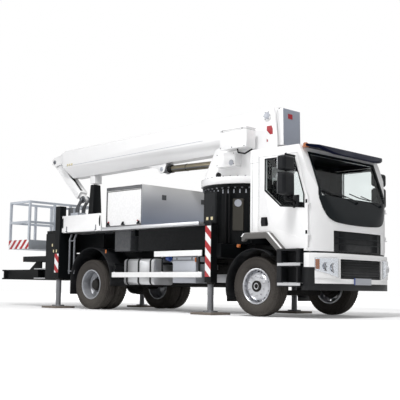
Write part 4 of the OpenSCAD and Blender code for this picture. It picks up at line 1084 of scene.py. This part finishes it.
def build_outriggers():
    for s, side in SIDES:
        soften("outrigger_beam_" + side, 0.005, 2)
        for where in ("front", "rear"):
            soften("jack_%s_%s" % (where, side), 0.004, 2, paints=[
                ("pad_brown", lambda c, n: c.z < 0.0405)])
        for body, x, z0, z1 in (("beam_" + side, FRONT_JACK_X, 0.66, 1.56),
                                ("chassis", REAR_JACK_X, 0.75, 1.15)):
            bm = bmesh.new()
            add_side_box(bm, s, (x - 0.068, 1.2745, z0), (x + 0.068, 1.2775, z1))
            finish_piece(bm, "post_stripes_%s_%s" % (body.split("_")[0], side), "post_stripes", body,
                         bevel=0.0008)
        bm = bmesh.new()
        low, high = sorted((s * 1.2695, s * 1.2765))
        add_box(bm, (-1.13, low, 1.63), (-0.86, high, 2.14))
        add_box(bm, (-0.93, min(low, s * 1.28), 1.78), (-0.91, max(high, s * 1.28), 1.90))
        add_rod(bm, (-1.10, s * 1.274, 1.70), (-1.10, s * 1.284, 1.70), 0.012, 12)
        finish_piece(bm, "control_door_" + side, "black_plastic", "beam_" + side, bevel=0.003)
        bm = bmesh.new()
        for x in (-1.07, -0.96):
            add_side_box(bm, s, (x, 1.276, 1.66), (x + 0.05, 1.279, 1.715))
        finish_piece(bm, "control_labels_" + side, "cream", "beam_" + side, bevel=0.0005)
        bm = bmesh.new()
        for x, y, z in ((-5.52, 1.2775, 1.21), (-5.67, 1.2425, 1.21), (-5.72, 1.2425, 1.34)):
            low, high = sorted((s * (y - 0.003), s * y))
            add_box(bm, (x - 0.018, low, z - 0.03), (x + 0.018, high, z + 0.03))
        finish_piece(bm, "rear_labels_" + side, "cream", bevel=0.0005)
        for where, x, z, body in (("front", FRONT_JACK_X, 0.56, "beam_" + side),
                                  ("rear", REAR_JACK_X, 0.63, "chassis")):
            collar = bmesh.new()
            add_turned(collar, (x, s * JACK_Y, z), (0, 0, 1), [(-0.03, 0.0565), (-0.03, 0.072),
                       (0.0, 0.076), (0.004, 0.0565)], 32)
            finish_piece(collar, "leg_collar_%s_%s" % (where, side), "dark_metal", body)


def build_tail():
    soften("rear_body", 0.006, 2)
    soften("boom_rest", 0.012, 2)
    for s, side in SIDES:
        bm = bmesh.new()
        for x in (-5.20, -5.04):
            add_tube(bm, [(x, s * 1.16, 0.72), (x, s * 1.16, 1.46), (x + 0.01, s * 1.12, 1.56)], 0.022,
                     14)
        for z in (0.78, 1.42):
            add_rod(bm, (-5.23, s * 1.16, z), (-5.01, s * 1.16, z), 0.014, 10)
        finish_piece(bm, "side_pipes_" + side, "jack_steel")
        bm = bmesh.new()
        for z in (0.62, 0.83):
            add_side_box(bm, s, (-6.66, 0.862, z), (-6.02, 1.05, z + 0.022))
        finish_piece(bm, "rear_steps_" + side, "body_aluminium", bevel=0.003)
        bm = bmesh.new()
        for x in (-6.60, -6.08):
            add_side_box(bm, s, (x, 0.862, 0.64), (x + 0.03, 1.00, 0.832))
        finish_piece(bm, "rear_step_hangers_" + side, "black_paint", bevel=0.003)


# ---------- turret and boom ----------

BOOM_SLOPE = math.radians(1.1)


def boom_spot(x, y, z):
    """Point given along the boom from its pivot, in the truck's frame at rest."""
    c, s = math.cos(BOOM_SLOPE), math.sin(BOOM_SLOPE)
    return Vector((BOOM_PIVOT_X + x * c - z * s, y, BOOM_PIVOT_Z + x * s + z * c))


def build_pedestal():
    soften("pedestal", 0.006, 2)
    bolt = bmesh.new()
    add_turned(bolt, (0.815, 0, 0), (0, 0, -1), [(0, 0), (0, 0.017), (0.022, 0.017), (0.026, 0.010),
                                                 (0.026, 0.0)], 6)
    ring(bolt, "pedestal_bolts", "jack_steel", "chassis", (SLEW_X, 0, 2.30), 40, "Z")
    slot = bmesh.new()
    add_box(slot, (0.777, -0.010, 0), (0.784, 0.010, 0.07))
    ring(slot, "pedestal_slots", "box_grey", "chassis", (SLEW_X, 0, 2.19), 44, "Z")
    bm = bmesh.new()
    for angle in (-76, -71, -42):
        t = math.radians(angle)
        x, y = SLEW_X + 0.81 * math.cos(t), 0.81 * math.sin(t)
        add_tube(bm, [(x, y, 1.28), (x, y, 1.7), (x, y, 2.12), (x - 0.03, y + 0.04, 2.24)], 0.013, 10)
    finish_piece(bm, "pedestal_hoses", "hose")
    bm = bmesh.new()
    turn = Matrix.Rotation(math.radians(-59), 3, "Z")
    add_box(bm, (0.74, -0.10, 1.50), (0.82, 0.10, 2.08))
    bmesh.ops.rotate(bm, verts=bm.verts, matrix=turn, cent=(0, 0, 0))
    bmesh.ops.translate(bm, vec=(SLEW_X, 0, 0), verts=bm.verts)
    finish_piece(bm, "pedestal_column", "column_olive", bevel=0.01)
    bm = bmesh.new()
    face = turn @ Vector((0.819, 0, 0))
    out = turn @ Vector((1, 0, 0))
    add_turned(bm, (face.x + SLEW_X, face.y, 2.0), out, [(0, 0.0), (0.004, 0.0), (0.004, 0.05),
                                                         (0.012, 0.052),
               (0.012, 0.066), (0, 0.066)], 32)
    finish_piece(bm, "pedestal_port", "box_grey")


def build_turret():
    soften("turret", 0.008, 2)
    bolt = bmesh.new()
    add_turned(bolt, (0.815, 0, 0), (0, 0, 1), [(0, 0), (0, 0.016), (0.018, 0.016), (0.022, 0.009),
                                                (0.022, 0.0)], 6)
    ring(bolt, "turret_bolts", "jack_steel", "turret", (SLEW_X, 0, 2.488), 36, "Z")
    bm = bmesh.new()
    add_box(bm, (-1.295, -0.7015, 3.345), (-0.645, -0.700, 3.349))
    add_box(bm, (-0.645, -0.70, 3.345), (-0.6435, -0.45, 3.349))
    for x, z in ((-1.28, 3.05), (-1.00, 3.04), (-0.70, 3.04), (-1.24, 3.365), (-0.75, 3.365)):
        add_rod(bm, (x, -0.698, z), (x, -0.706, z), 0.010, 10)
    for x, z in ((-1.55, 2.77), (-1.55, 2.97), (-1.13, 2.77), (-1.13, 2.97)):
        add_rod(bm, (x, -0.498, z), (x, -0.505, z), 0.009, 10)
    finish_piece(bm, "turret_box_screws", "grey_paint", "turret")
    bm = bmesh.new()
    add_box(bm, (-1.30, -0.712, 3.375), (-0.64, -0.44, 3.40))
    finish_piece(bm, "turret_box_lid", "white_paint", "turret", bevel=0.006)
    bm = bmesh.new()
    add_tube(bm, [(-0.95, -0.60, 3.03), (-0.93, -0.60, 2.95), (-0.84, -0.52, 2.93), (-0.76, -0.40, 3.02)],
             0.016, 10)
    finish_piece(bm, "turret_hoses", "hose", "turret", smooth=60)
    plate = -0.33      # outer face of the turret's cheek
    # Painted shade: a black disc in the hose finish fills the hole in the cheek.
    dark = bmesh.new()
    add_turned(dark, (-1.675, plate, 2.608), (0, -1, 0), [(0, 0), (0, 0.062), (-0.02, 0.062), (-0.02, 0)],
               32)
    finish_piece(dark, "turret_hole_shade", "hose", "turret")
    ports = bmesh.new()
    add_turned(ports, (-1.19, -0.5005, 2.80), (0, -1, 0), [(0, 0), (0.012, 0.0), (0.012, 0.04),
               (0.004, 0.055), (0, 0.055)], 32)
    finish_piece(ports, "turret_port", "box_grey", "turret")
    bm = bmesh.new()
    for s in (-1, 1):
        add_turned(bm, (BOOM_PIVOT_X, s * 0.359, BOOM_PIVOT_Z), (0, s, 0),
                   [(0, 0), (0, 0.068), (0.008, 0.064), (0.010, 0.040),
                   (0.016, 0.036), (0.016, 0.0)], 32)
    finish_piece(bm, "pivot_caps", "box_grey", "turret")
    bolt = bmesh.new()
    add_rod(bolt, (0.075, -0.358, 0), (0.075, -0.368, 0), 0.008, 8)
    add_rod(bolt, (0.075, 0.358, 0), (0.075, 0.368, 0), 0.008, 8)
    ring(bolt, "pivot_cap_bolts", "grey_paint", "turret", (BOOM_PIVOT_X, 0, BOOM_PIVOT_Z), 6)
    bm = bmesh.new()
    for s in (-1, 1):
        low, high = sorted((s * 0.3355, s * 0.338))
        add_sheet(bm, [(-0.47, 3.42), (-0.36, 3.42), (-0.33, 3.36), (-0.33, 3.26), (-0.39, 3.26),
                       (-0.47, 3.34)], low, high)
        add_sheet(bm, [(-0.47, 3.185), (-0.445, 3.165), (-0.445, 3.13), (-0.47, 3.13)], low, high)
    finish_piece(bm, "turret_red_marks", "red_mark", "turret")


def build_boom():
    # The counter box's forward-facing faces get painted shade in grey.
    soften("boom_base", 0.012, 3,
           paints=[("counter_box_painted_shade", lambda c, n: c.x > -0.20 and n.x > 0.5 and abs(c.y) < 0.24)])
    soften("boom_middle", 0.006, 2)
    soften("boom_tip", 0.006, 2)
    bm = bmesh.new()
    for s in (-1, 1):
        inner = [boom_spot(x, s * 0.2395, z) for x in (-6.25, -1.75) for z in (-0.222, -0.214)]
        add_block(bm, inner + [p + Vector((0, s * 0.0045, 0)) for p in inner])
    bmesh.ops.recalc_face_normals(bm, faces=bm.faces)
    finish_piece(bm, "boom_side_line", "box_grey", "boom_base")
    bm = bmesh.new()
    for s in (-1, 1):
        for x in (-6.20, -6.12, -6.04):
            add_block(bm, [boom_spot(x + dx, s * y, z) for y in (0.2395, 0.2425)
                           for dx in (0, 0.055) for z in (-0.23, -0.175)])
    bmesh.ops.recalc_face_normals(bm, faces=bm.faces)
    finish_piece(bm, "boom_tail_labels", "cream", "boom_base")
    bm = bmesh.new()
    add_block(bm, [boom_spot(0.2895 + dx, y, z) for dx in (0.0, 0.004) for y in (-0.11, 0.02)
                   for z in (-0.06, 0.03)])
    bmesh.ops.recalc_face_normals(bm, faces=bm.faces)
    finish_piece(bm, "counter_box_label", "red_mark", "boom_base")


def build_lift():
    soften("lift_barrel", 0.006, 2)
    soften("lift_rod", 0.004, 2)
    bm = bmesh.new()
    tilt = Vector((-0.999858, 0, 0.016875))
    base = Vector((-1.15, 0, 2.89))
    tip = base + tilt * (2.3703 - 0.15)
    add_turned(bm, tip, tilt, [(-0.10, 0.0725), (-0.10, 0.082), (0.0, 0.084), (0.018, 0.080),
                               (0.020, 0.055),
               (-0.05, 0.0535)], 40)
    for k in (0.9, 1.7):
        add_turned(bm, base + tilt * k, tilt, [(-0.006, 0.070), (-0.006, 0.077), (0.006, 0.077),
                                               (0.006, 0.070)], 40)
    finish_piece(bm, "lift_barrel_rings", "dark_metal", "lift_barrel")
    bm = bmesh.new()
    add_tube(bm, [base + tilt * 0.12 + Vector((0, -0.070, -0.025)), base + tilt * 0.25 + Vector((0,
                                                                                                 -0.090,
                                                                                                 -0.03)),
                  base + tilt * 2.0 + Vector((0, -0.090, -0.03)), base + tilt * 2.1 + Vector((0, -0.068,
                                                                                              -0.025))],
             0.010, 8)
    finish_piece(bm, "lift_pipe", "jack_steel", "lift_barrel")
    bm = bmesh.new()
    for s in (-1, 1):
        add_turned(bm, (-3.52, s * 0.104, 2.93), (0, s, 0), [(0, 0), (0, 0.048), (0.006, 0.045),
                                                             (0.008, 0.02),
                   (0.016, 0.018), (0.016, 0.0)], 24)
    finish_piece(bm, "lift_pin_caps", "box_grey", "boom_base")


def build_jib():
    soften("jib", 0.010, 3)
    soften("level_link", 0.004, 2)
    soften("basket_mount", 0.006, 2, paints=[("grey_paint", lambda c,
                                              n: c.x > -6.74 and c.z > 2.02 and abs(c.y) > 0.05)])
    bm = bmesh.new()
    for s in (-1, 1):
        add_turned(bm, (JIB_PIN[0], s * 0.147, JIB_PIN[2]), (0, s, 0), [(0, 0), (0, 0.05), (0.012, 0.046),
                                                                        (0.014, 0.02),
                   (0.022, 0.018), (0.022, 0.0)], 24)
    finish_piece(bm, "jib_pin_caps", "jack_steel", "boom_tip")
    bm = bmesh.new()
    c, s = math.cos(math.radians(JIB_TILT)), math.sin(math.radians(JIB_TILT))
    down, side, root = Vector((c, 0, -s)), Vector((s, 0, c)), Vector(JIB_PIN)
    for y in (-0.06, -0.03):
        points = [root + down * d + side * 0.104 + Vector((0, y, 0)) for d in (0.12, 0.5, 0.9, 1.2)]
        add_tube(bm, points, 0.010, 8)
    finish_piece(bm, "jib_hoses", "hose", "jib")


# ---------- basket ----------

def build_basket():
    toe = lambda c, n: c.z < 1.54 and abs(n.z) < 0.5 and n.x < 0.5 and abs(c.x + 7.46) + abs(c.y) > 0.38
    soften("basket", 0.005, 2, paints=[("basket_stripes", toe)], cuts=[((0, 0, 1.5195), (0, 0, 1))])
    bm = bmesh.new()
    add_rod(bm, (-7.045, 0.0, 1.455), (-6.64, 0.0, 1.455), 0.062, 32)
    finish_piece(bm, "basket_motor", "cylinder_bronze", "basket", bevel=0.006)


def build_chassis():
    for name in ("chassis_frame", "engine_block", "front_axle", "rear_axle", "knuckle_right",
                 "knuckle_left"):
        soften(name, 0.008, 2)


build_cab()
build_screen_surround()
build_grille()
build_front_end()
build_headlights()
build_cab_trim()
build_wheels()
build_deck()
build_dropsides()
build_underbed()
build_outriggers()
build_tail()
build_pedestal()
build_turret()
build_boom()
build_lift()
build_jib()
build_basket()
build_chassis()


# ---------- stage ----------

def floor_finish():
    """Pale floor that looks white to the camera and keeps the truck's shadow."""
    made = bpy.data.materials.new("pale_floor")
    made.use_nodes = True
    tree = made.node_tree
    shader = tree.nodes["Principled BSDF"]
    place = node(tree, "ShaderNodeTexCoord").outputs["Object"]
    tone = mix_colour(tree, noise(tree, place, 0.8), (0.93, 0.93, 0.935, 1), (0.90, 0.90, 0.905, 1))
    tree.links.new(tone, shader.inputs["Base Color"])
    shader.inputs["Roughness"].default_value = 0.9
    shader.inputs["Emission Color"].default_value = (1, 1, 1, 1)
    ray = node(tree, "ShaderNodeLightPath")
    seen = math_node(tree, "ADD", ray.outputs["Is Camera Ray"], ray.outputs["Is Transmission Ray"],
                     clamp=True)
    reach = node(tree, "ShaderNodeVectorMath", operation="LENGTH")
    tree.links.new(place, reach.inputs[0])
    far = math_node(tree, "DIVIDE", math_node(tree, "SUBTRACT", reach.outputs["Value"], 6.5), 9.0,
                    clamp=True)
    glow = math_node(tree, "ADD", math_node(tree, "MULTIPLY", far, 0.75), 0.12)
    tree.links.new(math_node(tree, "MULTIPLY", seen, glow), shader.inputs["Emission Strength"])
    return made


def build_floor():
    bm = bmesh.new()
    bmesh.ops.create_circle(bm, cap_ends=True, segments=64, radius=40)
    mesh = bpy.data.meshes.new("floor")
    bm.to_mesh(mesh)
    bm.free()
    made = shown(mesh, "floor")
    mesh.materials.append(floor_finish())
    made.location.z = -0.001


def build_world():
    world = bpy.data.worlds.new("studio")
    bpy.context.scene.world = world
    world.use_nodes = True
    tree = world.node_tree
    backdrop = tree.nodes["Background"]
    ray = node(tree, "ShaderNodeLightPath")
    seen = math_node(tree, "MAXIMUM", ray.outputs["Is Camera Ray"], ray.outputs["Is Transmission Ray"])
    strength = math_node(tree, "MULTIPLY", seen, 0.52)
    strength = math_node(tree, "ADD", strength, 0.48)
    backdrop.inputs["Color"].default_value = (1, 1, 1, 1)
    tree.links.new(strength, backdrop.inputs["Strength"])


def add_lamp(name, spot, target, size, power, colour=(1, 1, 1)):
    light = bpy.data.lights.new(name, "AREA")
    light.shape = "RECTANGLE"
    light.size, light.size_y = size
    light.energy = power
    light.color = colour
    made = bpy.data.objects.new(name, light)
    made.location = spot
    made.rotation_euler = (Vector(target) - Vector(spot)).to_track_quat("-Z", "Y").to_euler()
    bpy.context.scene.collection.objects.link(made)


def build_lights():
    add_lamp("key", (6, -9, 15), (0, 0, 1.0), (3.0, 3.0), 1950)
    add_lamp("side_fill", (-9, -13, 7), (-1, 0, 1.5), (8, 5), 380)
    add_lamp("back_fill", (-4, 13, 9), (0, 0, 1.5), (8, 6), 300)


CAMERA_SPOT = (12.461, -11.801, 0.459)
CAMERA_YAW, CAMERA_PITCH, CAMERA_ROLL = (math.radians(a) for a in (44.377, 6.094, 0.804))
CAMERA_LENS = 74.32


def build_camera():
    data = bpy.data.cameras.new("camera")
    data.sensor_width = 36
    data.lens = CAMERA_LENS
    data.clip_end = 200
    made = bpy.data.objects.new("camera", data)
    bpy.context.scene.collection.objects.link(made)
    yaw, pitch = CAMERA_YAW, CAMERA_PITCH
    ahead = Vector((-math.sin(yaw) * math.cos(pitch), math.cos(yaw) * math.cos(pitch), math.sin(pitch)))
    level = Vector((math.cos(yaw), math.sin(yaw), 0))
    up = level.cross(ahead)
    right = level * math.cos(CAMERA_ROLL) + up * math.sin(CAMERA_ROLL)
    top = up * math.cos(CAMERA_ROLL) - level * math.sin(CAMERA_ROLL)
    turn = Matrix((right, top, -ahead)).transposed()
    made.matrix_world = Matrix.Translation(CAMERA_SPOT) @ turn.to_4x4()
    bpy.context.scene.camera = made


build_floor()
build_world()
build_lights()
build_camera()
bpy.context.scene.view_settings.view_transform = "Standard"
